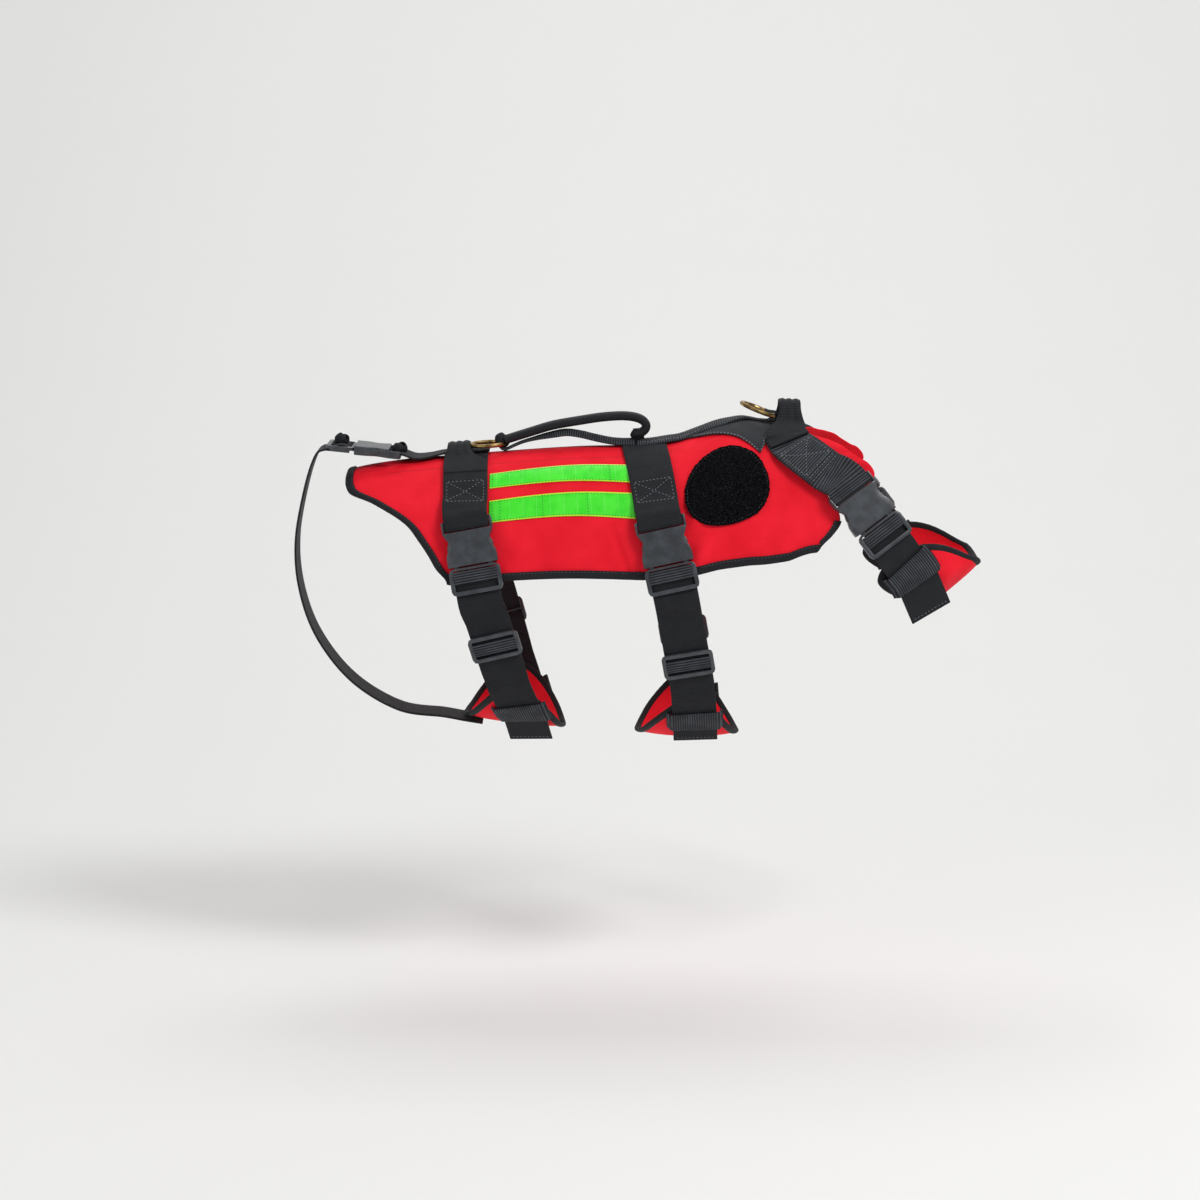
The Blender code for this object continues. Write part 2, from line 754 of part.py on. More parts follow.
PAD_ROUTES = {
    "rear": Route(girth_points(REAR_PAD_LINE), [Lift(0, 0.0), Lift(400, 0.0)]),
    "front": Route(girth_points(FRONT_PAD_LINE), [Lift(0, 0.0), Lift(400, 0.0)]),
    "chest": Route(side_view_points(CHEST_PAD_LINE), [Lift(0, 0.0), Lift(200, 0.0)]),
}


def pad_point(which, q, w, height):
    """A point q along the pad from its middle, positive on the near side, and w across it."""
    route = PAD_ROUTES[which]
    if which == "chest":
        p, _, across, _ = route.frame(q)
        return seat(p + across * w, height)
    p, _, across, _ = route.frame(route.length - abs(q))
    if abs(q) < 2.0:
        across = Vector((1, 0, 0))
    found = seat(p + across * w, height)
    return mirrored(found) if q < 0 else found


def pad_edge(shape, inset):
    """A quarter of the pad's edge, drawn in by the inset, as (q, w) from the middle to the tip."""
    length = shape.half_length - inset * 1.3
    turns = [math.sin(k / 10 * math.pi / 2) for k in range(11)]
    return [(length * t, (shape.half_width - inset) * (1 - t**shape.power) ** 0.6) for t in turns]


def pad(which):
    quarter = pad_edge(PADS[which], PAD_INSET)[:-1]
    edge = [(-q, w) for q, w in quarter[:0:-1]] + quarter
    rows = []
    for q, half in edge:
        row = []
        for share in (-1.0, -0.75, 0.0, 0.75, 1.0):
            crown = PAD * (PAD_RIM_SHARE if abs(share) == 1.0 or abs(q) == edge[-1][0] else 1.0)
            row.append((pad_point(which, q, half * share, PAD_LIFT),
                        pad_point(which, q, half * share, PAD_LIFT + crown)))
        rows.append(row)
    wall(f"{which}_pad", "red_nylon", rows)


def pad_rim(shape, inset):
    """The whole of the pad's edge, drawn in by the inset."""
    quarter = pad_edge(shape, inset)
    half = quarter + [(q, -w) for q, w in quarter[-2::-1]]
    return half + [(-q, w) for q, w in half[-2:0:-1]]


def pad_binding(which):
    shape = PADS[which]
    rings = []
    for (qi, wi), (qo, wo) in zip(pad_rim(shape, PAD_BINDING_INNER), pad_rim(shape, 0.0)):
        low, high = PAD_LIFT - 0.4, PAD_LIFT + 3.6
        rings.append([
            pad_point(which, qi, wi, high - 0.4), pad_point(which, (qi + qo) / 2, (wi + wo) / 2, high),
            pad_point(which, qo, wo, (low + high) / 2 + 0.6), pad_point(which, qo, wo, low + 0.4),
            pad_point(which, qi, wi, low),
        ])
    tube(f"{which}_pad_binding", "black_binding", rings, closed=True)


def keeper(which, side):
    """The 25 mm band sewn across the pad, over the strap."""
    shape, turn = PADS[which], SIDES[side]
    route = ROUTES[which]
    half = shape.keeper_half
    ends = WEBBING_WIDTH / 2 + 1.0
    rows = []
    for w in steps(-half, half, 8.0, -ends, ends):
        row = []
        for c in (-1.0, 0.0, 1.0):
            s = shape.keeper + c * KEEPER_WIDTH / 2
            pair = []
            for height in (0.0, WEBBING):
                over = route.at(s, w, WEBBING + KEEPER_GAP + height)
                under = seat(route.at(s, w, 0.0), PAD_LIFT + PAD + LAY_GAP + height)
                pair.append(turn(over.lerp(under, ramp(abs(w), ends, half - 2))))
            row.append(tuple(pair))
        rows.append(row)
    wall(f"{which}_keeper_{side}", "black_webbing", rows)


# ---------------------------------------------------------------- hardware


def prism(outline, low, high, bevel=0.0):
    """A plate from an outline, with its rim rounded off."""
    bm = bmesh.new()
    face = bm.faces.new([bm.verts.new((x, y, low)) for x, y in outline])
    made = bmesh.ops.extrude_face_region(bm, geom=[face])
    top = [v for v in made["geom"] if isinstance(v, bmesh.types.BMVert)]
    bmesh.ops.translate(bm, vec=(0, 0, high - low), verts=top)
    bmesh.ops.recalc_face_normals(bm, faces=bm.faces)
    if bevel:
        rims = [e for e in bm.edges if abs(e.verts[0].co.z - e.verts[1].co.z) < 1e-6]
        bmesh.ops.bevel(bm, geom=rims, offset=bevel, segments=1, profile=0.5, affect="EDGES",
                        material=-1)
    return bm


def block(x0, x1, y0, y1, z0, z1):
    return prism([(x0, y0), (x1, y0), (x1, y1), (x0, y1)], z0, z1)


def rounded(x0, x1, y0, y1, radius):
    """A rectangle with cut corners."""
    cut = radius * 0.6
    return [(x0 + cut, y0), (x1 - cut, y0), (x1, y0 + cut), (x1, y1 - cut), (x1 - cut, y1),
            (x0 + cut, y1), (x0, y1 - cut), (x0, y0 + cut)]


def combine(name, base, others):
    """The base body with each (operation, body) joined to it or cut from it."""
    mesh = bpy.data.meshes.new(name)
    base.to_mesh(mesh)
    base.free()
    obj = bpy.data.objects.new(name, mesh)
    bpy.context.scene.collection.objects.link(obj)
    helpers = []
    for operation, body in others:
        helper_mesh = bpy.data.meshes.new("helper")
        body.to_mesh(helper_mesh)
        body.free()
        helper = bpy.data.objects.new("helper", helper_mesh)
        bpy.context.scene.collection.objects.link(helper)
        helpers.append(helper)
        change = obj.modifiers.new("Boolean", "BOOLEAN")
        change.operation = operation
        change.object = helper
    bpy.context.view_layer.update()
    graph = bpy.context.evaluated_depsgraph_get()
    made = bpy.data.meshes.new_from_object(obj.evaluated_get(graph))
    for item in helpers + [obj]:
        bpy.data.objects.remove(item)
    bm = bmesh.new()
    bm.from_mesh(made)
    bmesh.ops.dissolve_limit(bm, angle_limit=math.radians(0.5), verts=bm.verts, edges=bm.edges)
    return mesh_of(name, bm)


def female_mesh():
    """The socket half: local Y runs down the strap from its webbing bar."""
    half, waist, length = BUCKLE_WIDTH / 2 - 0.5, FEMALE_WAIST / 2, FEMALE_LENGTH
    right = [(half - 3, 0), (half - 0.5, 3), (half, 9), (half - 1, 12), (waist, 16), (waist, 26),
             (half - 1, 32), (half - 0.6, length)]
    outline = right + [(-x, y) for x, y in reversed(right)]
    low, high = -1.0, FEMALE_THICK - 1.0
    base = prism(outline, low, high, 1.2)
    mouth = block(-half + 4.5, half - 4.5, 11.6, length + 1, low + 2.2, high - 2.4)
    window = [15.0, 28.5, low + 1.6, high - 1.8]
    cuts = [mouth, block(waist - 4.4, half + 2, *window), block(-half - 2, 4.4 - waist, *window),
            block(-half - 1, half + 1, -1, 9.4, BAR_TOP + 1.4, high + 1)]
    return combine("female", base, [("DIFFERENCE", cut) for cut in cuts])


def ladder(length, bar, window):
    """A frame for webbing: side rails, a low bar that it goes over, and rails that it goes under."""
    half = BUCKLE_WIDTH / 2
    inside = half - RAIL + 1.6
    base = prism(rounded(-half, half, 0.35, length, 5.0), BAR_BOTTOM, RAIL_TOP, 1.0)
    channel_from = window[0] if window[0] < RAIL else -2.0
    return base, [
        ("DIFFERENCE", block(-inside, inside, *window, BAR_BOTTOM - 2, RAIL_TOP + 2)),
        ("DIFFERENCE", block(-inside, inside, channel_from, length + 2, BAR_BOTTOM - 2, RAIL_UNDER)),
        ("UNION", block(-inside - 1, inside + 1, bar - 2, bar + 2, BAR_BOTTOM + 0.05, BAR_TOP)),
    ]


def male_mesh():
    """The ladder frame with its plug, local Y 0 at the socket's lower edge."""
    base, changes = ladder(MALE_LENGTH, BAR_AT, (4.4, MALE_LENGTH - RAIL))
    plug_half = BUCKLE_WIDTH / 2 - 6.2
    low, high = 1.7, 5.1
    plug = block(-plug_half, plug_half, -24.0, 3.0, low, high)
    changes.append(("UNION", plug))
    for sign in (1, -1):
        x0, x1 = sorted((sign * (plug_half - 4.6), sign * (FEMALE_WAIST / 2 + 1.9)))
        changes.append(("UNION", block(x0, x1, -25.6, -15.0, low, high)))
    return combine("male", base, changes)


def glide_mesh():
    base, changes = ladder(GLIDE_LENGTH, GLIDE_LENGTH / 2, (RAIL, GLIDE_LENGTH - RAIL))
    return combine("glide", base, changes)


def hardware():
    female, male, glide = female_mesh(), male_mesh(), glide_mesh()
    flip = Matrix.Scale(-1, 4, Vector((0, 1, 0)))
    places = [("rear", REAR_FEMALE), ("front", FRONT_FEMALE), ("chest", CHEST_FEMALE)]
    for which, start in places:
        for side in SIDES:
            for name, mesh, s in (("socket", female, start), ("plug", male, start + FEMALE_LENGTH)):
                turn = ROUTES[which].matrix(s)
                if side == "left":
                    turn = flip @ turn @ Matrix.Scale(-1, 4, Vector((1, 0, 0)))
                place(f"{which}_buckle_{name}_{side}", mesh.copy(), "acetal", turn)
    for which, start in (("rear", REAR_GLIDE), ("front", FRONT_GLIDE)):
        for side in SIDES:
            turn = ROUTES[which].matrix(start)
            if side == "left":
                turn = flip @ turn @ Matrix.Scale(-1, 4, Vector((1, 0, 0)))
            place(f"{which}_triglide_{side}", glide.copy(), "acetal", turn)
    return female, male


# ---------------------------------------------------------------- ridge: spine, rings, handle, hip


Ridge = namedtuple("Ridge", "x z")


def ridge_top(x, lift):
    p = seat((x, 0.0, barrel(x)[3] + barrel(x)[1]), lift)
    return Ridge(p.x, p.z)


def path_points(rows, step=6.0):
    """Points along a smooth curve through the rows, drawn in the middle plane."""
    dense = []
    for i in range(len(rows) - 1):
        p0, p1 = rows[max(i - 1, 0)], rows[i]
        p2, p3 = rows[i + 1], rows[min(i + 2, len(rows) - 1)]
        for k in range(12):
            t = k / 12
            dense.append(tuple(
                0.5 * (2 * b + (c - a) * t + (2 * a - 5 * b + 4 * c - d) * t * t
                       + (3 * b - a - 3 * c + d) * t**3)
                for a, b, c, d in zip(p0, p1, p2, p3)))
    dense.append(tuple(rows[-1]))
    kept = [dense[0]]
    for p in dense[1:-1]:
        if math.dist(p, kept[-1]) >= step and math.dist(p, dense[-1]) >= 0.5 * step:
            kept.append(p)
    return kept + [dense[-1]]


def ridge_band(name, rows, half_width, thick, step=6.0, round_edge=0.0):
    """A band in the middle plane; its rows give the middle of its thickness."""
    path = path_points(rows, step)
    rings = []
    for i, (x, z) in enumerate(path):
        a, b = path[max(i - 1, 0)], path[min(i + 1, len(path) - 1)]
        dx, dz = b[0] - a[0], b[1] - a[1]
        length = math.hypot(dx, dz)
        nx, nz = -dz / length, dx / length
        share = i / (len(path) - 1)
        half = half_width(share) if callable(half_width) else half_width
        deep = (thick(share) if callable(thick) else thick) / 2
        side = [(half, -deep + round_edge), (half, deep - round_edge)]
        if round_edge:
            side = [(half - round_edge, -deep), *side, (half - round_edge, deep)]
        outline = side + [(-y, h) for y, h in reversed(side)]
        rings.append([(x + nx * h, y, z + nz * h) for y, h in outline])
    tube(name, "black_webbing", rings)


def ring_matrix(centre, tilt):
    """A ring in the plane of Y and a line tilted up towards the tail."""
    turn = Matrix.Rotation(tilt, 4, "Y")
    turn.translation = Vector(centre)
    return turn


def ring_mesh():
    bm = bmesh.new()
    middle = (RING_DIAMETER - RING_WIRE) / 2
    made = bmesh.ops.create_circle(bm, cap_ends=False, segments=6, radius=RING_WIRE / 2)
    bmesh.ops.rotate(bm, cent=(0, 0, 0), matrix=Matrix.Rotation(math.pi / 2, 3, "X"), verts=made["verts"])
    bmesh.ops.translate(bm, vec=(middle, 0, 0), verts=made["verts"])
    bmesh.ops.spin(bm, geom=bm.verts[:] + bm.edges[:], cent=(0, 0, 0), axis=(0, 0, 1), dvec=(0, 0, 0),
                   angle=2 * math.pi, steps=24, use_merge=True)
    return mesh_of("ring", bm)


FRONT_RING_HINGE = Ridge(178.0, 36.0)
FRONT_RING_TILT = math.radians(22)
REAR_RING_FRONT = Ridge(-97.0, 8.0)
REAR_RING_TILT = math.radians(-3)
RING_MIDDLE = (RING_DIAMETER - RING_WIRE) / 2
RING_FOLD = 4.5


def rings():
    """The front ring swings about the point of its wire that its loop holds."""
    mesh = ring_mesh()
    made = {}
    for name, hinge, tilt in (("front_ring", FRONT_RING_HINGE, FRONT_RING_TILT),
                              ("rear_ring", REAR_RING_FRONT, REAR_RING_TILT)):
        centre = (hinge.x - RING_MIDDLE * math.cos(tilt), 0.0, hinge.z + RING_MIDDLE * math.sin(tilt))
        made[name] = place(name, mesh.copy(), "antique_brass", ring_matrix(centre, tilt))
    hinge = bpy.data.objects.new("front_ring_pivot", None)
    hinge.location = Vector((FRONT_RING_HINGE.x, 0.0, FRONT_RING_HINGE.z)) * METRE
    bpy.context.scene.collection.objects.link(hinge)
    bpy.context.view_layer.update()
    made["front_ring"].parent = hinge
    made["front_ring"].matrix_parent_inverse = hinge.matrix_world.inverted()


Arch = namedtuple("Arch", "run height half_width")
REAR_LOOP = [Arch(0, 13.6, 11.0), Arch(8, 13.2, 11.0), Arch(15, 10.0, 12.5), Arch(22, 6.8, 16.0),
             Arch(32, 5.8, 21.5), Arch(46, 5.8, 22.0)]
FRONT_LOOP = [Arch(0, 27.5, 10.5), Arch(7, 26.6, 10.5), Arch(13, 20.0, 11.0), Arch(19, 12.4, 14.0),
              Arch(28, 10.3, 19.0), Arch(46, 10.0, 21.5)]


def ring_loop(name, route, rows, offset):
    """Webbing over the ridge, gathered narrow where it arches over the ring's wire."""
    end = rows[-1].run

    def middle(s):
        stands = (route.point(s) - seat(route.point(s))).length
        return route.at(s, 0.0, smooth(rows, "run", "height", abs(s)) - stands)

    bands = []
    for s in steps(-end, end, 4.2):
        across = route.frame(s)[2]
        normal = (middle(s + 0.5) - middle(s - 0.5)).cross(across).normalized()
        half = smooth(rows, "run", "half_width", abs(s))
        base = middle(s) + across * offset * (1 - ramp(abs(s), 16, 34))
        bands.append([(base + across * half * c, base + across * half * c + normal * WEBBING)
                      for c in (-1.0, 0.0, 1.0)])
    wall(name, "black_webbing", bands)


def spine_straps():
    rear = [ridge_top(x, lift) for x, lift in
            ((-112, 6.3), (-135, 6.3), (-158, 6.3), (-174, 4.0), (-188, 4.0))]
    roll = [Ridge(-200.0, -1.6), Ridge(-207.9, -0.2)]
    ridge_band("spine_strap_rear", rear + roll, lambda t: 15.0 + 7.0 * ramp(t, 0.45, 0.8),
               lambda t: WEBBING + 6.0 * ramp(t, 0.84, 0.93), 6.0)
    rise = [ridge_top(x, lift) for x, lift in
            ((38, 6.9), (54, 6.9), (70, 6.9), (84, 5.6), (104, 5.6), (124, 5.6), (146, 5.6), (162, 5.6))]
    hinge = FRONT_RING_HINGE
    wrap = [Ridge(hinge.x + RING_FOLD * math.cos(math.radians(a)),
                  hinge.z + RING_FOLD * math.sin(math.radians(a))) for a in range(-75, 101, 25)]
    back = [Ridge(hinge.x - 6.0, hinge.z + 5.2), Ridge(hinge.x - 10.0, hinge.z + 6.8)]
    ridge_band("spine_strap_front", rise + wrap + back,
               lambda t: 17.0 - 11.8 * ramp(t, 0.52, 0.76), WEBBING, 3.0)


HANDLE_GRIP = [Ridge(-86, 14.0), Ridge(-70, 20), Ridge(-48, 26.5), Ridge(-20, 31.5), Ridge(4, 35.0),
               Ridge(26, 36.0), Ridge(41, 33), Ridge(47.5, 26), Ridge(43, 19.6), Ridge(34, 18.4)]
HANDLE_BASE = [Ridge(-84, 7.6), Ridge(-70, 13.0), Ridge(-54, 18.2), Ridge(-36, 22.0), Ridge(-20, 20.4),
               Ridge(-4, 16.6), Ridge(12, 13.4), Ridge(24, 12.5), Ridge(36, 12.7)]


def handle():
    """A folded grip above a taut band, both tied to the rear ring and sewn at the front girth."""
    ridge_band("handle_grip", HANDLE_GRIP, HANDLE_WIDTH / 2, HANDLE_THICK, 8.0, 2.6)
    ring = REAR_RING_FRONT
    radius = 5.9
    hook = [Ridge(ring.x + radius * math.cos(math.radians(a)), ring.z + radius * math.sin(math.radians(a)))
            for a in range(130, 287, 26)]
    ridge_band("handle_base", hook + HANDLE_BASE, lambda t: 8.0 + 4.0 * ramp(t, 0.18, 0.4), 2.4, 4.0)


HIP_BUCKLE = Ridge(-209.0, -4.2)
HIP_TILT = math.radians(6)
HIP_STRAP = [Ridge(-257.0, 5.4), Ridge(-261.0, 8.0), Ridge(-266.5, 8.0), Ridge(-272.5, 3.6),
             Ridge(-281.0, 3.6), Ridge(-290, -3), Ridge(-301, -36), Ridge(-311, -90), Ridge(-308, -140),
             Ridge(-291, -190), Ridge(-256, -236), Ridge(-208, -266)]


def belly_bottom(x, lift):
    p = seat((x, 0.0, barrel(x)[3] - barrel(x)[2]), lift)
    return Ridge(p.x, p.z)


def hip(female, male):
    """The buckle over the rump lies along the spine, its plug towards the tail."""
    turn = Matrix(((0, -1, 0, 0), (1, 0, 0, 0), (0, 0, 1, 0), (0, 0, 0, 1)))
    lie = Matrix.Rotation(HIP_TILT, 4, "Y") @ turn
    for name, mesh, run in (("socket", female, 0.0), ("plug", male, FEMALE_LENGTH)):
        spot = lie.copy()
        spot.translation = Vector((HIP_BUCKLE.x, 0, HIP_BUCKLE.z)) + lie.to_3x3() @ Vector((0, run, 0))
        place(f"hip_buckle_{name}", mesh.copy(), "acetal", spot)
    landing = [belly_bottom(x, 7.2) for x in (-160, -138, -120)]
    ridge_band("hip_strap", HIP_STRAP + landing, WEBBING_WIDTH / 2, WEBBING, 9.0)


def clear_scene():
    for obj in list(bpy.data.objects):
        bpy.data.objects.remove(obj)


def build():
    clear_scene()
    saddle()
    binding()
    yoke()
    for side in SIDES:
        neck_panel(side)
        patch(side)
        for row in STRIPS:
            strip(row, side)
        for which in LOWER:
            lower_strap(which, side)
            keeper(which, side)
    upper_girth("rear", REAR_FEMALE)
    upper_girth("front", FRONT_FEMALE)
    upper_chest()
    for which in PADS:
        pad(which)
        pad_binding(which)
    female, male = hardware()
    rings()
    ring_loop("rear_ring_loop", ROUTES["rear"], REAR_LOOP, -7.0)
    ring_loop("front_ring_loop", ROUTES["chest"], FRONT_LOOP, 6.0)
    spine_straps()
    handle()
    hip(female, male)


build()
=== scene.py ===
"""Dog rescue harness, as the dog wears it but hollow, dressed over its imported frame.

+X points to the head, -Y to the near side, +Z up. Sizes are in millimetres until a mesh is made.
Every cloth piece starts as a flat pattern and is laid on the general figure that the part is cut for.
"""

import math

import bmesh
import bpy
import numpy as np
from mathutils import Matrix, Vector


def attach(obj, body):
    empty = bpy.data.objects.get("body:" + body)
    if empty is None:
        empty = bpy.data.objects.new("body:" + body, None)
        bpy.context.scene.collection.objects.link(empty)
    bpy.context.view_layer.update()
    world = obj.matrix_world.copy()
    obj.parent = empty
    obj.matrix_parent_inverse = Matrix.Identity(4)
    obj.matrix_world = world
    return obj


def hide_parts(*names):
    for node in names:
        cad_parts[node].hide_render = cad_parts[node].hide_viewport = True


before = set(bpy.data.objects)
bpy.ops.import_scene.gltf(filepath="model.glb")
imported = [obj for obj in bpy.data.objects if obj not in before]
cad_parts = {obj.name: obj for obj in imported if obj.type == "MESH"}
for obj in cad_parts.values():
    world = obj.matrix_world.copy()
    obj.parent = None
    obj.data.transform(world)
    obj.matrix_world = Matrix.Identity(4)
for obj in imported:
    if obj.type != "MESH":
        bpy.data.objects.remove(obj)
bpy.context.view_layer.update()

METRE = 0.001
CLOTH = 1.6
LAY_GAP = 0.55
WEBBING_WIDTH = 45.0
WEBBING = 2.0
BINDING_WIDTH = 6.4
BINDING = 1.1
SIDES = ("right", "left")
MIRROR = np.array([1, -1, 1])

# ---------------------------------------------------------------- the figure, as the part has it

STATIONS = np.array([
    (-330, -48, -215, 62), (-256, -21, -240, 80), (-205, -11.5, -256, 86), (-150, -6.5, -268, 90),
    (-100, -2.5, -276, 93), (-25, 2.5, -284, 96), (40, 4.5, -288, 98), (75, 9.5, -291, 98),
    (100, 18, -292, 98), (122, 26, -291, 97), (146, 29, -289, 96), (170, 25.5, -285, 95),
    (190, 24, -280, 94),
], float)
CHEST_X, NOSE_X, NOSE_Z = 190.0, 398.0, -100.0
NECK_POWER, SIDE_POWER = 2.5, 2.2


def curve(pairs):
    """A smooth curve through (key, value) pairs, level at the last one."""
    keys, values = np.array(pairs, float).T
    slopes = np.zeros(len(keys))
    slopes[0] = (values[1] - values[0]) / (keys[1] - keys[0])
    slopes[1:-1] = (values[2:] - values[:-2]) / (keys[2:] - keys[:-2])

    def at(x):
        x = np.clip(x, keys[0], keys[-1])
        i = np.clip(np.searchsorted(keys, x, side="right") - 1, 0, len(keys) - 2)
        span = keys[i + 1] - keys[i]
        t = (x - keys[i]) / span
        return ((2 * t**3 - 3 * t**2 + 1) * values[i] + (t**3 - 2 * t**2 + t) * slopes[i] * span
                + (3 * t**2 - 2 * t**3) * values[i + 1] + (t**3 - t**2) * slopes[i + 1] * span)

    return at


RIDGE, BELLY, HALF_WIDTH = (curve(STATIONS[:, [0, column]]) for column in (1, 2, 3))


def ramp(at, low, high):
    t = np.clip((at - low) / (high - low), 0.0, 1.0)
    return t * t * (3 - 2 * t)


def unit(v):
    return v / np.linalg.norm(v, axis=-1, keepdims=True)


def run_of(points):
    """The length so far, at each of the points."""
    return np.concatenate([[0.0], np.cumsum(np.linalg.norm(np.diff(points, axis=0), axis=1))])


def between(s, run, values):
    """The values at each length s, where run holds the lengths that they belong to."""
    return np.stack([np.interp(s, run, values[:, k]) for k in range(3)], axis=-1)


def barrel(x):
    inside = np.minimum(x, CHEST_X)
    top, bottom = RIDGE(inside), BELLY(inside)
    middle, half_height = (top + bottom) / 2, (top - bottom) / 2
    along = np.clip((x - CHEST_X) / (NOSE_X - CHEST_X), 0.0, 0.999)
    middle = middle + (NOSE_Z - middle) * along
    above = half_height * (1 - along**NECK_POWER) ** (1 / NECK_POWER)
    half_width = HALF_WIDTH(inside) * (1 - along**SIDE_POWER) ** (1 / SIDE_POWER)
    return half_width, above, half_height * (1 - along), middle


def outside(p):
    half_width, above, below, middle = barrel(p[:, 0])
    height = p[:, 2] - middle
    return np.hypot(p[:, 1] / half_width, height / np.where(height > 0, above, below)) - 1


def outward(p, step=0.5):
    """The slope of the figure's surface, which points away from it."""
    columns = []
    for axis in range(3):
        shift = np.zeros(3)
        shift[axis] = step
        columns.append((outside(p + shift) - outside(p - shift)) / (2 * step))
    return np.stack(columns, axis=-1)


def seat(p, height=0.0):
    """The points moved on to the figure, and then out by the height."""
    p = np.atleast_2d(np.asarray(p, float))
    for _ in range(6):
        slope = outward(p)
        p = p - slope * (outside(p) / (slope**2).sum(-1))[:, None]
    return p + unit(outward(p)) * np.reshape(height, (-1, 1))


def section(x, angle):
    half_width, above, below, middle = barrel(x)
    rise = np.cos(angle)
    return np.stack([x + 0 * rise, -half_width * np.sin(angle),
                     middle + np.where(rise > 0, above, below) * rise], axis=-1)


def dropped(x, drop, height):
    """The points this far down the cloth from the spine; the near side is positive."""
    x, drop = np.broadcast_arrays(np.asarray(x, float), np.asarray(drop, float))
    turns = np.radians(np.arange(0.0, 124.0, 2.0))
    half_width, above, below, middle = (c[:, None] for c in barrel(x))
    rise = np.cos(turns)
    y, z = half_width * np.sin(turns), middle + np.where(rise > 0, above, below) * rise
    lengths = np.hypot(np.diff(y), np.diff(z))
    runs = np.concatenate([np.zeros((len(x), 1)), np.cumsum(lengths, axis=1)], axis=1)
    k = np.clip((runs <= np.abs(drop)[:, None]).sum(1) - 1, 0, len(turns) - 2)
    row = np.arange(len(x))
    angle = turns[k] + (np.abs(drop) - runs[row, k]) / lengths[row, k] * turns[1]
    p = section(x, angle * np.sign(drop))
    return p + unit(outward(p)) * np.reshape(height, (-1, 1))


# Soft troughs and ridges: x, lean, drop from, drop to, height, half width
FOLDS = [(14, 0.16, 104, 168, -3.2, 13), (-8, 0.05, 116, 168, 1.6, 16), (98, -0.30, 98, 165, 2.0, 11),
         (-182, 0.45, 60, 135, 1.8, 14), (187, -0.35, 120, 162, 1.8, 13)]


def fold_height(x, drop):
    total = 0.0
    for at, lean, drop_from, drop_to, height, half_width in FOLDS:
        across = (x - at - lean * (np.abs(drop) - drop_to)) / half_width
        along = ramp(np.abs(drop), drop_from, drop_from + 0.6 * (drop_to - drop_from))
        total = total + height * along * np.exp(-across * across)
    return total


def on_saddle(x, drop, height):
    return dropped(x, drop, 0.4 + height + fold_height(x, drop))


EDGE_SHARES = (0, 0.29, 0.43, 0.60, 0.73, 0.82, 0.90, 1)
REAR_EDGE = curve(list(zip(EDGE_SHARES, (-256, -253, -226, -194, -179, -170, -163, -152))))
FRONT_EDGE = curve(list(zip(EDGE_SHARES, (176, 177, 195, 220, 236, 240, 232, 218))))
HEM_DROP = curve([(-152, 160), (-96, 161), (-40, 163), (40, 168), (95, 174), (140, 176), (185, 166),
                  (214, 160)])


def saddle_pattern(u, v):
    """x and drop of a point of the saddle; u runs from rear to front and v from the spine to the hem."""
    rear, front = REAR_EDGE(np.abs(v)), FRONT_EDGE(np.abs(v))
    x = rear + (front - rear) * u
    return x, v * HEM_DROP(x)


# ---------------------------------------------------------------- lines that webbing follows


class Line:
    """Points along webbing at its underside, by the length so far, and the way out at each."""

    def __init__(self, s, points, normals):
        self.s, self.points, self.normals = np.asarray(s, float), points, normals

    def near(self, s, values):
        return between(s, self.s, values)

    def frame(self, s):
        """Point, direction along, direction across and outward normal, at each length."""
        s = np.atleast_1d(np.asarray(s, float))
        inner = np.clip(s, self.s[0] + 1, self.s[-1] - 1)
        along = unit(self.near(inner + 1, self.points) - self.near(inner - 1, self.points))
        across = unit(np.cross(self.near(s, self.normals), along))
        return self.near(s, self.points), along, across, np.cross(along, across)

    def at(self, s, across, height):
        p, _, b, n = self.frame(s)
        return p + b * np.reshape(across, (-1, 1)) + n * np.reshape(height, (-1, 1))

    def matrix(self, s):
        """Local X across the webbing, local Y along it, and local Z out."""
        p, along, across, normal = (v[0] for v in self.frame(s))
        turn = Matrix((across, along, normal)).transposed().to_4x4()
        turn.translation = Vector(p)
        return turn


LINE_STEP, TAIL_REACH = 2.0, 80.0
FLAT_EASE = 12
PAD_RISE = (26, 6)


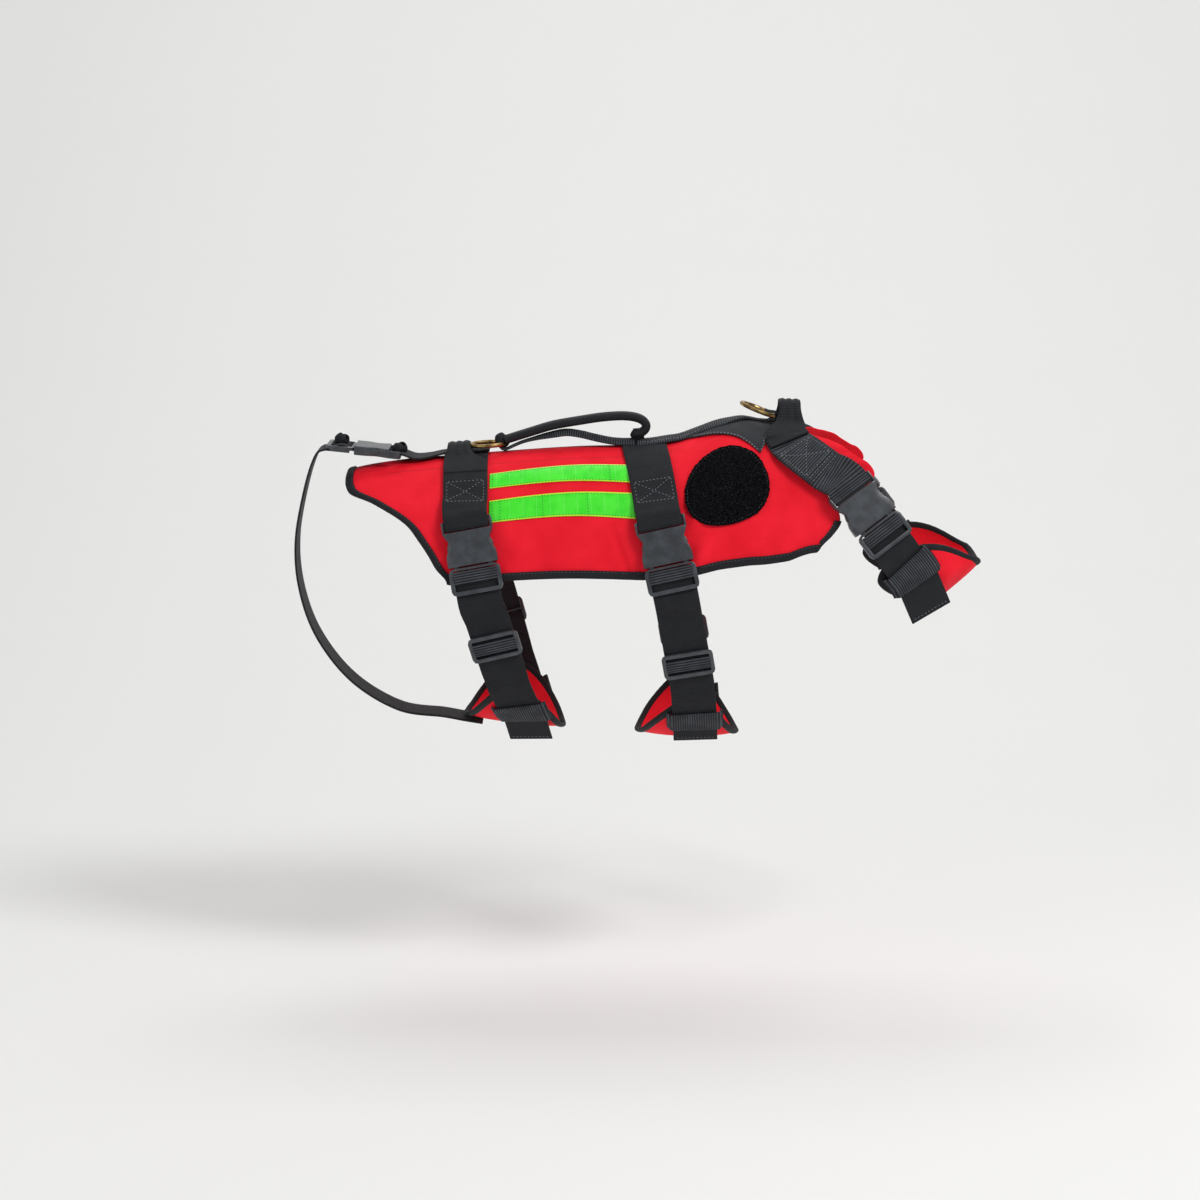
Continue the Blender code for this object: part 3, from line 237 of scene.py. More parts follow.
def route(points, lifts, flats=(), pad_reach=0.0, pad_top=0.0, leave=None, sag=0.0):
    """A line round the figure, from the far side over the spine and down the near side."""
    base = [np.array(points[0], float)]
    for p in points[1:]:
        while np.linalg.norm(p - base[-1]) >= LINE_STEP:
            base.append(base[-1] + unit(p - base[-1]) * LINE_STEP)
    base = seat(np.array(base))
    base[0, 1] = 0.0
    run = run_of(base)
    normals = unit(outward(base))
    pad_edge = run[-1] - pad_reach
    over_pad = pad_top * ramp(run, pad_edge - PAD_RISE[0], pad_edge - PAD_RISE[1])
    placed = base + normals * np.maximum(curve(lifts)(run), over_pad)[:, None]
    for flat_from, flat_to in flats:
        i, j = np.abs(run - flat_from).argmin(), np.abs(run - flat_to).argmin()
        a, b = placed[i].copy(), placed[j].copy()
        normal = unit(normals[i] + normals[j])
        share = (np.arange(i, j + 1) - i)[:, None] / (j - i)
        bulge = ((placed[i:j + 1] - (a + (b - a) * share)) @ normal).max()
        a, b = a + normal * bulge, b + normal * bulge
        normal = unit(normal - (b - a) * (normal @ (b - a) / ((b - a) @ (b - a))))
        index = np.arange(max(0, i - FLAT_EASE), min(len(run), j + FLAT_EASE + 1))
        straight = a + (b - a) * ((index - i) / (j - i))[:, None]
        inside = np.minimum(ramp(index, i - FLAT_EASE, i), 1 - ramp(index, j, j + FLAT_EASE))[:, None]
        placed[index] = placed[index] * (1 - inside) + straight * inside
        normals[index] = unit(normals[index] * (1 - inside) + normal * inside)
    if leave is not None:
        free = Line(run, placed, normals)
        start, along, _, _ = (v[0] for v in free.frame(leave))
        tail = unit(along + np.array([0, 0, -sag]))
        kept = run < leave
        reach = np.arange(0.0, TAIL_REACH, LINE_STEP)
        out = free.near(np.array([leave]), normals)
        run = np.concatenate([run[kept], leave + reach])
        placed = np.concatenate([placed[kept], start + tail * reach[:, None]])
        normals = np.concatenate([normals[kept], np.repeat(out, len(reach), axis=0)])
    return Line(np.concatenate([-run[:0:-1], run]), np.concatenate([placed[:0:-1] * MIRROR, placed]),
                np.concatenate([normals[:0:-1] * MIRROR, normals]))


def girth(leans):
    degrees = np.arange(0.0, 181.0, 3.0)
    return section(curve(leans)(degrees), np.radians(degrees))


def near_side(x, z):
    """The points of the figure's near side that are seen here in side view."""
    half_width, above, below, middle = barrel(x)
    height = z - middle
    tall = np.minimum(1.0, np.abs(height) / np.where(height > 0, above, below))
    return np.stack([x, -half_width * np.sqrt(1 - tall * tall), z], axis=-1)


def side_line(rows, count=48):
    """Points on the figure's near side along a line drawn in side view; the first is at the middle."""
    x = rows[0][0] + (rows[-1][0] - rows[0][0]) * (1 - np.cos(np.arange(count + 1) / count * math.pi / 2))
    points = near_side(x, curve(sorted(rows))(x))
    points[0, 1] = 0.0
    return points


REAR_GIRTH = [(0, -136), (33, -135.5), (59, -133), (77, -125), (92, -118), (108, -105), (122, -97),
              (140, -84), (160, -73), (180, -68)]
FRONT_GIRTH = [(0, 46), (13, 46), (59, 60), (75, 69), (86, 75), (108, 86), (122, 92), (140, 96),
               (160, 98), (180, 99)]
CHEST_STRAP = [(186, 24), (188.6, 14.5), (195.5, 5.5), (207, -2.5), (222, -12), (258, -38), (277, -64),
               (297, -95), (313, -114), (326, -132)]
REAR_PAD_LINE = [(0, -140), (108, -104), (140, -91), (160, -88), (180, -88)]
FRONT_PAD_LINE = [(0, 50), (108, 84), (140, 90), (160, 90), (180, 90)]
CHEST_PAD_LINE = [(355, -137.5), (354, -134.5), (350, -129), (339, -122), (318, -118), (290, -119),
                  (262, -123), (240, -128)]
FEMALE_LENGTH, MALE_LENGTH, GLIDE_LENGTH = 42.0, 28.0, 28.0
BUCKLE_AT = {"rear": 103.0, "front": 116.0, "chest": 124.0}
GLIDE_AT = {"rear": 214.0, "front": 246.0}
# Half length, half width, power of the outline, where the keeper lies and its half length
PADS = {"rear": (90.0, 53.0, 1.6, 314.0, 29.0), "front": (91.0, 54.0, 1.6, 331.0, 29.0),
        "chest": (138.0, 48.0, 3.0, 226.0, 29.0)}
PAD_LIFT, PAD_CLEAR, PAD = 0.8, 5.95, 4.6
STRAP_END = {"rear": 358.0, "front": 362.0, "chest": 277.0}


def buckle_flat(at):
    return at - 6, at + FEMALE_LENGTH + MALE_LENGTH + 4


def glide_flat(at):
    return at - 6, at + GLIDE_LENGTH + 6


LINES = {
    "rear": route(girth(REAR_GIRTH),
                  [(0, 3.0), (95, 3.0), (140, 4.8), (175, 3.8), (205, 2.2), (400, 2.4)],
                  [buckle_flat(BUCKLE_AT["rear"]), glide_flat(GLIDE_AT["rear"])],
                  PADS["rear"][0], PAD_CLEAR, 326.0, 0.45),
    "front": route(girth(FRONT_GIRTH),
                   [(0, 3.7), (110, 3.8), (150, 5.6), (188, 4.2), (215, 2.2), (400, 2.4)],
                   [buckle_flat(BUCKLE_AT["front"]), glide_flat(GLIDE_AT["front"])],
                   PADS["front"][0], PAD_CLEAR, 340.0, 0.3),
    "chest": route(side_line(CHEST_STRAP),
                   [(0, 6.1), (46, 6.1), (66, 7.8), (92, 6.6), (150, 6.0), (172, PAD_CLEAR),
                    (260, PAD_CLEAR)],
                   [buckle_flat(BUCKLE_AT["chest"])], leave=240.0, sag=0.2),
}
PAD_LINES = {
    "rear": route(girth(REAR_PAD_LINE), [(0, 0), (400, 0)]),
    "front": route(girth(FRONT_PAD_LINE), [(0, 0), (400, 0)]),
    "chest": route(side_line(CHEST_PAD_LINE), [(0, 0), (200, 0)]),
}


def ridge_line(rows, step=2.0):
    """A smooth line in the middle plane through (x, z) rows."""
    rows = np.array(rows, float)
    padded = np.concatenate([rows[:1], rows, rows[-1:]])
    t = np.arange(0, 1, 0.05)[:, None]
    dense = []
    for a, b, c, d in zip(padded, padded[1:], padded[2:], padded[3:]):
        dense.append(0.5 * (2 * b + (c - a) * t + (2 * a - 5 * b + 4 * c - d) * t**2
                            + (3 * b - a - 3 * c + d) * t**3))
    dense = np.concatenate(dense + [rows[-1:]])
    run = run_of(dense)
    s = np.linspace(0.0, run[-1], max(4, int(run[-1] / step)))
    x, z = np.interp(s, run, dense[:, 0]), np.interp(s, run, dense[:, 1])
    along = unit(np.stack([np.gradient(x), np.gradient(z)], axis=-1))
    points = np.stack([x, 0 * x, z], axis=-1)
    return Line(s, points, np.stack([-along[:, 1], 0 * x, along[:, 0]], axis=-1))


# ---------------------------------------------------------------- materials


def linear(hex_colour):
    """An sRGB hex colour as linear red, green, blue and alpha."""
    shares = [int(hex_colour[i:i + 2], 16) / 255 for i in (1, 3, 5)]
    return [c / 12.92 if c <= 0.04045 else ((c + 0.055) / 1.055) ** 2.4 for c in shares] + [1.0]


def feed(tree, node, inputs):
    """Sets a node's inputs, each from a value, a hex colour or another node's output."""
    for name, given in inputs.items():
        if isinstance(given, bpy.types.NodeSocket):
            tree.links.new(given, node.inputs[name])
        else:
            node.inputs[name].default_value = linear(given) if isinstance(given, str) else given


def add(tree, kind, inputs=None, out=0, **settings):
    """Adds a shader node with its settings and links, and returns the output that is asked for."""
    made = tree.nodes.new("ShaderNode" + kind)
    for name, setting in settings.items():
        setattr(made, name, setting)
    feed(tree, made, inputs or {})
    return made.outputs[out]


def finish_of(name, hex_colour, roughness, **more):
    """A material with its node tree and its shader; more holds other inputs of the shader."""
    made = bpy.data.materials.new(name)
    made.use_nodes = True
    tree = made.node_tree
    shader = tree.nodes["Principled BSDF"]
    feed(tree, shader, {"Base Color": hex_colour, "Roughness": roughness})
    feed(tree, shader, {key.replace("_", " "): given for key, given in more.items()})
    return made, tree, shader


def waves(spacing):
    """The scale at which a wave texture has one band in every spacing millimetres."""
    return math.pi / 10 / (spacing * METRE)


def patches(size):
    """The scale at which a noise or cell texture has features of about that size in millimetres."""
    return 1 / (size * METRE)


def woven_nylon():
    # 600 denier plain weave: a satin face that scatters light, with faint threads both ways.
    # Its threads are 0.5 mm apart; drawn at 1.2 mm so that the weave shows.
    made, tree, shader = finish_of("woven_red_nylon", "#F60C22", 0.78, Specular_IOR_Level=0.22,
                                   Sheen_Weight=0.06, Sheen_Roughness=0.45, Sheen_Tint="#FF8088")
    place = add(tree, "TexCoord", out="Object")
    threads = {"Vector": add(tree, "UVMap"), "Scale": waves(1.2)}
    warp = add(tree, "TexWave", threads, "Fac")
    weft = add(tree, "TexWave", threads, "Fac", bands_direction="Y")
    weave = add(tree, "Math", {0: warp, 1: weft}, operation="MULTIPLY")
    cloud = add(tree, "TexNoise", {"Vector": place, "Scale": patches(34), "Detail": 3.0}, "Fac")
    faded = add(tree, "MapRange", {0: cloud, 1: 0.3, 2: 0.7})
    face = add(tree, "Mix", {0: faded, 6: "#EC0A22", 7: "#FF1A30"}, 2, data_type="RGBA")
    gaps = add(tree, "MapRange", {0: weave, 1: 0.0, 2: 0.5, 3: 0.16, 4: 0.0})
    colour = add(tree, "Mix", {0: gaps, 6: face, 7: "#8E0A1E"}, 2, data_type="RGBA")
    ripple = add(tree, "TexNoise", {"Vector": place, "Scale": patches(11)}, "Fac")
    soft = add(tree, "Bump", {"Strength": 0.4, "Distance": 0.9 * METRE, "Height": ripple})
    relief = add(tree, "Bump", {"Strength": 0.7, "Distance": 0.16 * METRE, "Height": weave, "Normal": soft})
    feed(tree, shader, {"Base Color": colour, "Normal": relief})
    return made


def ribbed_webbing(name, dark, light, spacing, depth):
    # Nylon webbing: the weft lies in ribs across the band, dull black; the rib crests are painted paler as a
    # highlight and the grooves darker as painted shade, more strongly in random rubbed patches.
    made, tree, shader = finish_of(name, dark, 0.72, Specular_IOR_Level=0.22, Sheen_Weight=0.04,
                                   Sheen_Roughness=0.4)
    where = add(tree, "UVMap")
    place = add(tree, "TexCoord", out="Object")
    ribs = add(tree, "TexWave", {"Vector": where, "Scale": waves(spacing)}, "Fac")
    plies = add(tree, "TexWave", {"Vector": where, "Scale": waves(1.5)}, "Fac", bands_direction="Y")
    plied = add(tree, "MapRange", {0: plies, 3: 0.65, 4: 1.0})
    weave = add(tree, "Math", {0: ribs, 1: plied}, operation="MULTIPLY")
    rub = add(tree, "TexNoise", {"Vector": place, "Scale": patches(14)}, "Fac")
    rubbed = add(tree, "MapRange", {0: rub, 1: 0.3, 2: 0.7, 3: 0.5, 4: 1.0})
    # Painted highlight on the rib crests and painted shade in the grooves, stronger in random rubbed patches;
    # light is the crests' painted highlight colour.
    crest_highlight_and_rub = add(tree, "Math", {0: weave, 1: rubbed}, operation="MULTIPLY")
    colour = add(tree, "Mix", {0: crest_highlight_and_rub, 6: dark, 7: light}, 2, data_type="RGBA")
    relief = add(tree, "Bump", {"Strength": 0.9, "Distance": depth * METRE, "Height": weave})
    feed(tree, shader, {"Base Color": colour, "Normal": relief})
    return made


def twill_cloth():
    # Cotton and polyester twill: matt charcoal with fine diagonal ribs, 1.4 mm apart.
    made, tree, shader = finish_of("dark_twill_cloth", "#1A1C20", 0.78, Sheen_Weight=0.03,
                                   Sheen_Roughness=0.5)
    ribs = add(tree, "TexWave", {"Vector": add(tree, "UVMap"), "Scale": waves(1.4)}, "Fac",
               bands_direction="DIAGONAL")
    colour = add(tree, "Mix", {0: ribs, 6: "#121317", 7: "#2A2D33"}, 2, data_type="RGBA")
    relief = add(tree, "Bump", {"Strength": 0.7, "Distance": 0.2 * METRE, "Height": ribs})
    feed(tree, shader, {"Base Color": colour, "Normal": relief})
    return made


def lime_tape():
    # Vinyl reflective tape: a bright, slightly glossy prismatic face between narrow yellow-green selvedges.
    # Its prisms are 0.8 mm across; drawn at 1.6 mm. Weld lines cross it every 12 mm.
    made, tree, shader = finish_of("lime_reflective_tape", "#42F02C", 0.36, Coat_Weight=0.3,
                                   Coat_Roughness=0.22)
    where = add(tree, "UVMap")
    place = add(tree, "TexCoord", out="Object")
    across = add(tree, "SeparateXYZ", {0: where}, "Y")
    edge = add(tree, "Math", {0: across}, operation="ABSOLUTE")
    rim = add(tree, "MapRange", {0: edge, 1: 0.87, 2: 0.91})
    cloud = add(tree, "TexNoise", {"Vector": place, "Scale": patches(12)}, "Fac")
    lively = add(tree, "MapRange", {0: cloud, 1: 0.35, 2: 0.65})
    face = add(tree, "Mix", {0: lively, 6: "#2CE010", 7: "#46EE28"}, 2, data_type="RGBA")
    welds = add(tree, "TexWave", {"Vector": where, "Scale": waves(12)}, "Fac")
    weld = add(tree, "MapRange", {0: welds, 1: 0.985, 2: 1.0, 3: 0.0, 4: 0.14})
    pale = add(tree, "Mix", {0: weld, 6: face, 7: "#B8FFA8"}, 2, data_type="RGBA")
    colour = add(tree, "Mix", {0: rim, 6: pale, 7: "#B4F028"}, 2, data_type="RGBA")
    prisms = add(tree, "TexVoronoi", {"Vector": place, "Scale": patches(1.6)}, "Distance")
    relief = add(tree, "Bump", {"Strength": 0.5, "Distance": 0.06 * METRE, "Height": prisms})
    feed(tree, shader, {"Base Color": colour, "Normal": relief})
    return made


def loop_pile():
    # The soft half of hook and loop: a deep matt black that swallows light, with curled loops 1 mm across.
    made, tree, shader = finish_of("black_loop_pile", "#060607", 0.95, Specular_IOR_Level=0.05)
    place = add(tree, "TexCoord", out="Object")
    loops = add(tree, "TexVoronoi", {"Vector": place, "Scale": patches(1.2)}, "Distance")
    fuzz = add(tree, "TexNoise", {"Vector": place, "Scale": patches(1.0), "Detail": 3.0}, "Fac")
    curls = add(tree, "Math", {0: loops, 1: fuzz}, operation="MULTIPLY")
    lit = add(tree, "MapRange", {0: curls, 1: 0.24, 2: 0.44})
    colour = add(tree, "Mix", {0: lit, 6: "#040405", 7: "#222327"}, 2, data_type="RGBA")
    relief = add(tree, "Bump", {"Strength": 1.0, "Distance": 1.1 * METRE, "Height": curls})
    feed(tree, shader, {"Base Color": colour, "Normal": relief})
    return made


def rubbed_solid(name, hex_colour, roughness, tones, gloss, rub, rub_from, rub_to, grain, detail, strength,
                 metallic=0.0):
    """A hard surface, rubbed in patches. tones and gloss hold what is outside and inside the patches."""
    made, tree, shader = finish_of(name, hex_colour, roughness, Metallic=metallic)
    place = add(tree, "TexCoord", out="Object")
    cloud = add(tree, "TexNoise", {"Vector": place, "Scale": patches(rub), "Detail": 4.0}, "Fac")
    rubbed = add(tree, "MapRange", {0: cloud, 1: rub_from, 2: rub_to})
    colour = add(tree, "Mix", {0: rubbed, 6: tones[0], 7: tones[1]}, 2, data_type="RGBA")
    shine = add(tree, "MapRange", {0: rubbed, 3: gloss[0], 4: gloss[1]})
    pits = add(tree, "TexNoise", {"Vector": place, "Scale": patches(grain), "Detail": detail}, "Fac")
    relief = add(tree, "Bump", {"Strength": strength, "Distance": 0.05 * METRE, "Height": pits})
    feed(tree, shader, {"Base Color": colour, "Roughness": shine, "Normal": relief})
    return made


def moulded_acetal():
    # Injection-moulded acetal: a satin charcoal face with a spark-eroded grain, rubbed paler in patches.
    return rubbed_solid("moulded_black_acetal", "#3A3E44", 0.4, ("#303338", "#42464C"), (0.3, 0.38), rub=11,
                        rub_from=0.35, rub_to=0.7, grain=0.9, detail=2.0, strength=0.5)


def antique_brass():
    # Cast brass, browned in a bath and polished back to yellow where it rubs.
    return rubbed_solid("antique_brass", "#9A8150", 0.34, ("#6E5A3A", "#B89A62"), (0.45, 0.26), rub=6,
                        rub_from=0.38, rub_to=0.62, grain=1.4, detail=3.0, strength=0.4, metallic=1.0)


def thread(name, hex_colour):
    # Bonded polyester sewing thread, two plies twisted: a dull lustre, a shade off its cloth.
    made, tree, shader = finish_of(name, hex_colour, 0.55, Sheen_Weight=0.1)
    place = add(tree, "TexCoord", out="Object")
    plies = add(tree, "TexNoise", {"Vector": place, "Scale": patches(0.5)}, "Fac")
    relief = add(tree, "Bump", {"Strength": 0.5, "Distance": 0.08 * METRE, "Height": plies})
    feed(tree, shader, {"Normal": relief})
    return made


FINISHES = {
    "red_nylon": (woven_nylon(), "red_nylon"),
    # The second colour of each ribbed finish is the painted highlight on its rib crests.
    "webbing": (ribbed_webbing("fine_nylon_webbing", "#131417", "#2A2C31", 1.6, 0.2), "black_webbing"),
    "ribbed": (ribbed_webbing("ribbed_nylon_webbing", "#0C0D0F", "#565A62", 2.4, 0.5), "black_webbing"),
    "grosgrain": (ribbed_webbing("grosgrain_binding", "#121316", "#2A2C31", 1.3, 0.18), "black_binding"),
    "twill": (twill_cloth(), "black_yoke"),
    "lime": (lime_tape(), "lime_tape"),
    "pile": (loop_pile(), "loop_pile"),
    "acetal": (moulded_acetal(), "acetal"),
    "brass": (antique_brass(), "antique_brass"),
    "grey_thread": (thread("grey_bonded_thread", "#8E9198"), "black_webbing"),
    "black_thread": (thread("black_bonded_thread", "#4A4C52"), "black_binding"),
    "green_thread": (thread("green_bonded_thread", "#186A16"), "lime_tape"),
    "red_thread": (thread("red_bonded_thread", "#6E0816"), "red_nylon"),
}

# ---------------------------------------------------------------- making pieces


SHARP_ANGLE, RIM_ANGLE = math.radians(40), math.radians(55)


def put(name, data):
    """A new object in the scene, with this mesh, lamp or camera as its data."""
    obj = bpy.data.objects.new(name, data)
    bpy.context.scene.collection.objects.link(obj)
    return obj


def dress(name, mesh, finish, nodes=(), body="harness"):
    """Puts a finished mesh in the scene, on its body and in the place of its CAD nodes."""
    material, slot_name = FINISHES[finish]
    mesh.materials.append(material)
    mesh.shade_smooth()
    mesh.set_sharp_from_angle(angle=SHARP_ANGLE)
    obj = put(name, mesh)
    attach(obj, body)
    if nodes:
        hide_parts(*nodes)
    return obj


def mesh_from(name, bm):
    mesh = bpy.data.meshes.new(name)
    bm.to_mesh(mesh)
    bm.free()
    return mesh


def pattern_grid(counts, size):
    """A flat grid whose UV map is the pattern in metres, and how far along and across it each point lies."""
    bm = bmesh.new()
    bmesh.ops.create_grid(bm, x_segments=counts[0], y_segments=counts[1], size=0.5)
    cloth = bm.loops.layers.uv.new("pattern")
    for face in bm.faces:
        for loop in face.loops:
            loop[cloth].uv = ((loop.vert.co.x + 0.5) * size[0] * METRE, loop.vert.co.y * size[1] * METRE)
    u, v = np.array([vert.co[:2] for vert in bm.verts]).T + 0.5
    return bm, u, v


def laid(name, finish, place, counts, size, thick, side="right", nodes=(), bevel=0.0):
    """A flat piece of cloth laid where place(u, v, height) says, with its thickness added outwards.

    u and v run from 0 to 1 over the pattern, whose size in millimetres sets its UV map.
    """
    bm, u, v = pattern_grid(counts, size)
    under = place(u, v, 0.0)
    out = place(u, v, 1.0) - under
    if side == "left":
        under, out = under * MIRROR, out * MIRROR
    for vert, p in zip(bm.verts, under * METRE):
        vert.co = p
    bm.normal_update()
    if sum(vert.normal.dot(Vector(o)) for vert, o in zip(bm.verts, out)) < 0:
        bmesh.ops.reverse_faces(bm, faces=bm.faces)
    obj = dress(name, mesh_from(name, bm), finish, nodes)
    layer = obj.modifiers.new("Thickness", "SOLIDIFY")
    layer.thickness = thick * METRE
    layer.offset = 1.0
    if bevel:
        rim = obj.modifiers.new("Soft edge", "BEVEL")
        rim.width = bevel * METRE
        rim.segments = 2
        rim.limit_method = "ANGLE"
        rim.angle_limit = RIM_ANGLE
    return obj


def value(rule, s):
    return rule(s) if callable(rule) else rule + 0 * s


BAND_COLUMNS, BAND_BEVEL = 10, 0.45


def band(name, line, start, end, low=0.0, side="right", half=WEBBING_WIDTH / 2, shift=0.0, thick=WEBBING,
         finish="webbing", nodes=(), step=3.0):
    """Webbing along a line. Its underside, half width and sideways shift may change along it."""

    def place(u, v, height):
        s = start + (end - start) * u
        return line.at(s, value(shift, s) + (2 * v - 1) * value(half, s), value(low, s) + height)

    rows = max(2, math.ceil(abs(end - start) / step))
    laid(name, finish, place, (rows, BAND_COLUMNS), (abs(end - start), WEBBING_WIDTH), thick, side, nodes,
         BAND_BEVEL)


def stitching(name, finish, seams, side="right", length=2.3, gap=1.3, width=0.6):
    """Rows of thread. Each seam is a place(t) from 0 to 1 that gives points and the way out."""
    bm = bmesh.new()
    for place in seams:
        points, out = place(np.linspace(0, 1, 160))
        if side == "left":
            points, out = points * MIRROR, out * MIRROR
        run = run_of(points)
        count = max(1, int(run[-1] / (length + gap)))
        middles = (np.arange(count) + 0.5) * run[-1] / count
        along = unit(between(middles + 0.6, run, points) - between(middles - 0.6, run, points))
        across = unit(np.cross(unit(between(middles, run, out)), along))
        for p, a, b, n in zip(between(middles, run, points), along, across, np.cross(along, across)):
            turn = Matrix((a * length / 2, b * width / 2, n * width / 2)).transposed().to_4x4()
            turn.translation = Vector(p)
            bmesh.ops.create_icosphere(bm, subdivisions=1, radius=1.0, matrix=Matrix.Scale(METRE, 4) @ turn)
    bmesh.ops.recalc_face_normals(bm, faces=bm.faces)
    dress(name, mesh_from(name, bm), finish)


def on_band(line, s0, c0, s1, c1, height):
    """A seam on webbing, straight from (s0, c0) to (s1, c1): length along and distance across."""

    def place(t):
        s = s0 + (s1 - s0) * t
        return line.at(s, c0 + (c1 - c0) * t, height), line.frame(s)[3]

    return place


def seam_over(place_at, height):
    """A seam that follows place_at(t, height) on cloth."""

    def place(t):
        low, high = place_at(t, height), place_at(t, height + 1.0)
        return low, high - low

    return place


# ---------------------------------------------------------------- saddle and what is sewn on it

SADDLE_SIZE = (492.0, 332.0)
SEAM_DROP, SEAM_REAR, SEAM_LENGTH, SEAM_ASIDE = 30.0, -214, 288, 2.2
AREA_ROWS = 400
# Gathers at a strap's edge: height, waves by x and by drop, their length, then the strap's x, its lean,
# the gather's half width, and the drops between which it grows
GATHERS = [(1.9, 0.9, 1.25, 9.0, 92, 0.25, 26, 60, 120), (1.1, 0.7, -1.1, 8.0, -100, 0.0, 22, 70, 130)]


def puckers(x, drop):
    """Small creases that the solids leave out: at the strap edges, the hem and the spine seams."""
    down = np.abs(drop)
    total = 0.0
    for height, by_x, by_drop, wave, at, lean, half_width, grow_from, grow_to in GATHERS:
        near = np.exp(-(((x - at) + lean * (down - 120)) / half_width) ** 2) * ramp(down, grow_from, grow_to)
        total = total + height * np.sin((x * by_x + down * by_drop) / wave) * near
    hem = 0.7 * np.sin(x / 7.2) * ramp(down, 138, 156) * (1 - ramp(down, 158, 166))
    trough = -3.2 * np.exp(-(((x - 17) - 0.35 * (down - 130)) / 5.0) ** 2) * ramp(down, 104, 128)
    spine = -0.85 * np.exp(-((down - SEAM_DROP) / 2.2) ** 2)
    seam_wave = 0.3 * np.sin(x / 6.4 + 1.0) * np.exp(-((down - SEAM_DROP) / 9.0) ** 2)
    return total + hem + trough + spine + seam_wave


def saddle_at(u, v, height):
    x, drop = saddle_pattern(u, 2 * v - 1)
    return on_saddle(x, drop, height + puckers(x, drop))


def make_saddle(binding):
    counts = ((210, 150))
    panel = laid("saddle_cloth", "red_nylon", saddle_at, counts, SADDLE_SIZE, CLOTH, nodes=["back_panel"])

    def beside_seam(t, height, sign):
        x, drop = SEAM_REAR + SEAM_LENGTH * t, SEAM_DROP + SEAM_ASIDE
        return on_saddle(x, sign * (drop + 0 * x), height + puckers(x, drop))

    seams = [seam_over(lambda t, height, sign=sign: beside_seam(t, height, sign), CLOTH + 0.1)
             for sign in (1, -1)]
    stitching("spine_seam_thread", "red_thread", seams)
    x = np.linspace(REAR_EDGE(0.0), FRONT_EDGE(0.82), AREA_ROWS)
    shares = np.linspace(0.0, 1.0, AREA_ROWS)
    inside = (x[:, None] >= REAR_EDGE(shares)) & (x[:, None] <= FRONT_EDGE(shares))
    widths = 2 * HEM_DROP(x) * inside.mean(axis=1)


# Length along the saddle's edge from the near front corner to the far one, with u and v there
EDGE_KNOTS = np.array([(0, 1, 0.82), (20, 1, 1), (390, 0, 1), (570, 0, 0), (750, 0, -1), (1120, 1, -1),
                       (1140, 1, -0.82)], float)
# The pattern's usual length and drop, which turn an inset in millimetres into a share of it
INSET_LENGTH, INSET_DROP = 430, 165


def edge_at(t, inset, height):
    lengths, along, down = EDGE_KNOTS.T
    u, v = np.interp(t * lengths[-1], lengths, along), np.interp(t * lengths[-1], lengths, down)
    at_end = ramp(np.abs(v), 0.90, 0.999)
    at_rear = 1 - ramp(u, 0.0, 0.03)
    at_front = ramp(u, 0.97, 1.0)
    u = u + (at_rear - at_front * (1 - ramp(np.abs(v), 0.97, 1.0))) * inset / INSET_LENGTH
    v = v - np.sign(v) * at_end * inset / INSET_DROP
    x, drop = saddle_pattern(u, v)
    return on_saddle(x, drop, height + puckers(x, drop) * 0.6)


def make_binding():
    outer = CLOTH + LAY_GAP + BINDING
    profile = np.array([(BINDING_WIDTH, CLOTH + LAY_GAP - 0.1), (BINDING_WIDTH * 0.5, outer - 0.9),
                        (0.6, outer - 1.0), (-0.9, CLOTH * 0.9), (-0.9, CLOTH * 0.1), (0.6, -0.5),
                        (BINDING_WIDTH * 0.5, -0.6), (BINDING_WIDTH, -0.5)])

    def place(u, v, height):
        inset, low = (np.interp(v, np.linspace(0, 1, len(profile)), column) for column in profile.T)
        push = np.interp(v, [0, 0.33, 0.5, 0.67, 1], [1, 1, 0.0, -1, -1])
        side_out = np.interp(v, [0, 0.2, 0.5, 0.8, 1], [0, 0, -1, 0, 0])
        return edge_at(u, inset + side_out * height, low + push * height)

    binding = laid("hem_binding", "grosgrain", place, (420, 14), (1140, 20), BINDING * 0.8,
                   nodes=["panel_binding"], bevel=0.2)
    stitching("hem_binding_thread", "black_thread",
              [seam_over(lambda t, height: edge_at(t, BINDING_WIDTH - 1.6, height), CLOTH + LAY_GAP + 0.85)],
              length=2.4, gap=1.4)
    return binding


YOKE_LENGTH, YOKE_DROP, YOKE_GAP, YOKE_CLOTH = 112, 58.0, 1.0, 1.3
YOKE_REAR = curve([(0, 74), (14, 84), (26, 110), (38, 136), (47, 148), (53, 155), (58, 160)])
YOKE_FRONT = curve([(0, 184), (14, 182), (26, 176.5), (38, 168), (47, 166), (53, 163), (58, 161.5)])
# Rows of thread: share of the way forward, and the drops between which it runs
YOKE_SEAMS = [(0.045, 6, 56), (0.09, 6, 56), (0.92, 30, 56)]


def yoke_at(u, drop, height):
    down = np.abs(drop)
    rear, front = YOKE_REAR(down), YOKE_FRONT(down)
    return on_saddle(rear + (front - rear) * u, drop, CLOTH + YOKE_GAP + height)


def make_yoke():
    size = (YOKE_LENGTH, 2 * YOKE_DROP)
    cloth = laid("withers_yoke_cloth", "twill", lambda u, v, h: yoke_at(u, (2 * v - 1) * YOKE_DROP, h),
                 (44, 66), size, YOKE_CLOTH, nodes=["withers_yoke"], bevel=0.3)
    drops = np.linspace(-YOKE_DROP, YOKE_DROP, AREA_ROWS // 2)
    widths = YOKE_FRONT(np.abs(drops)) - YOKE_REAR(np.abs(drops))

    def seam(at, start, end, sign):
        return seam_over(lambda t, height: yoke_at(at + 0 * t, sign * (start + (end - start) * t), height),
                         YOKE_CLOTH + 0.05)

    stitching("yoke_thread", "grey_thread", [seam(*row, sign) for sign in (1, -1) for row in YOKE_SEAMS])


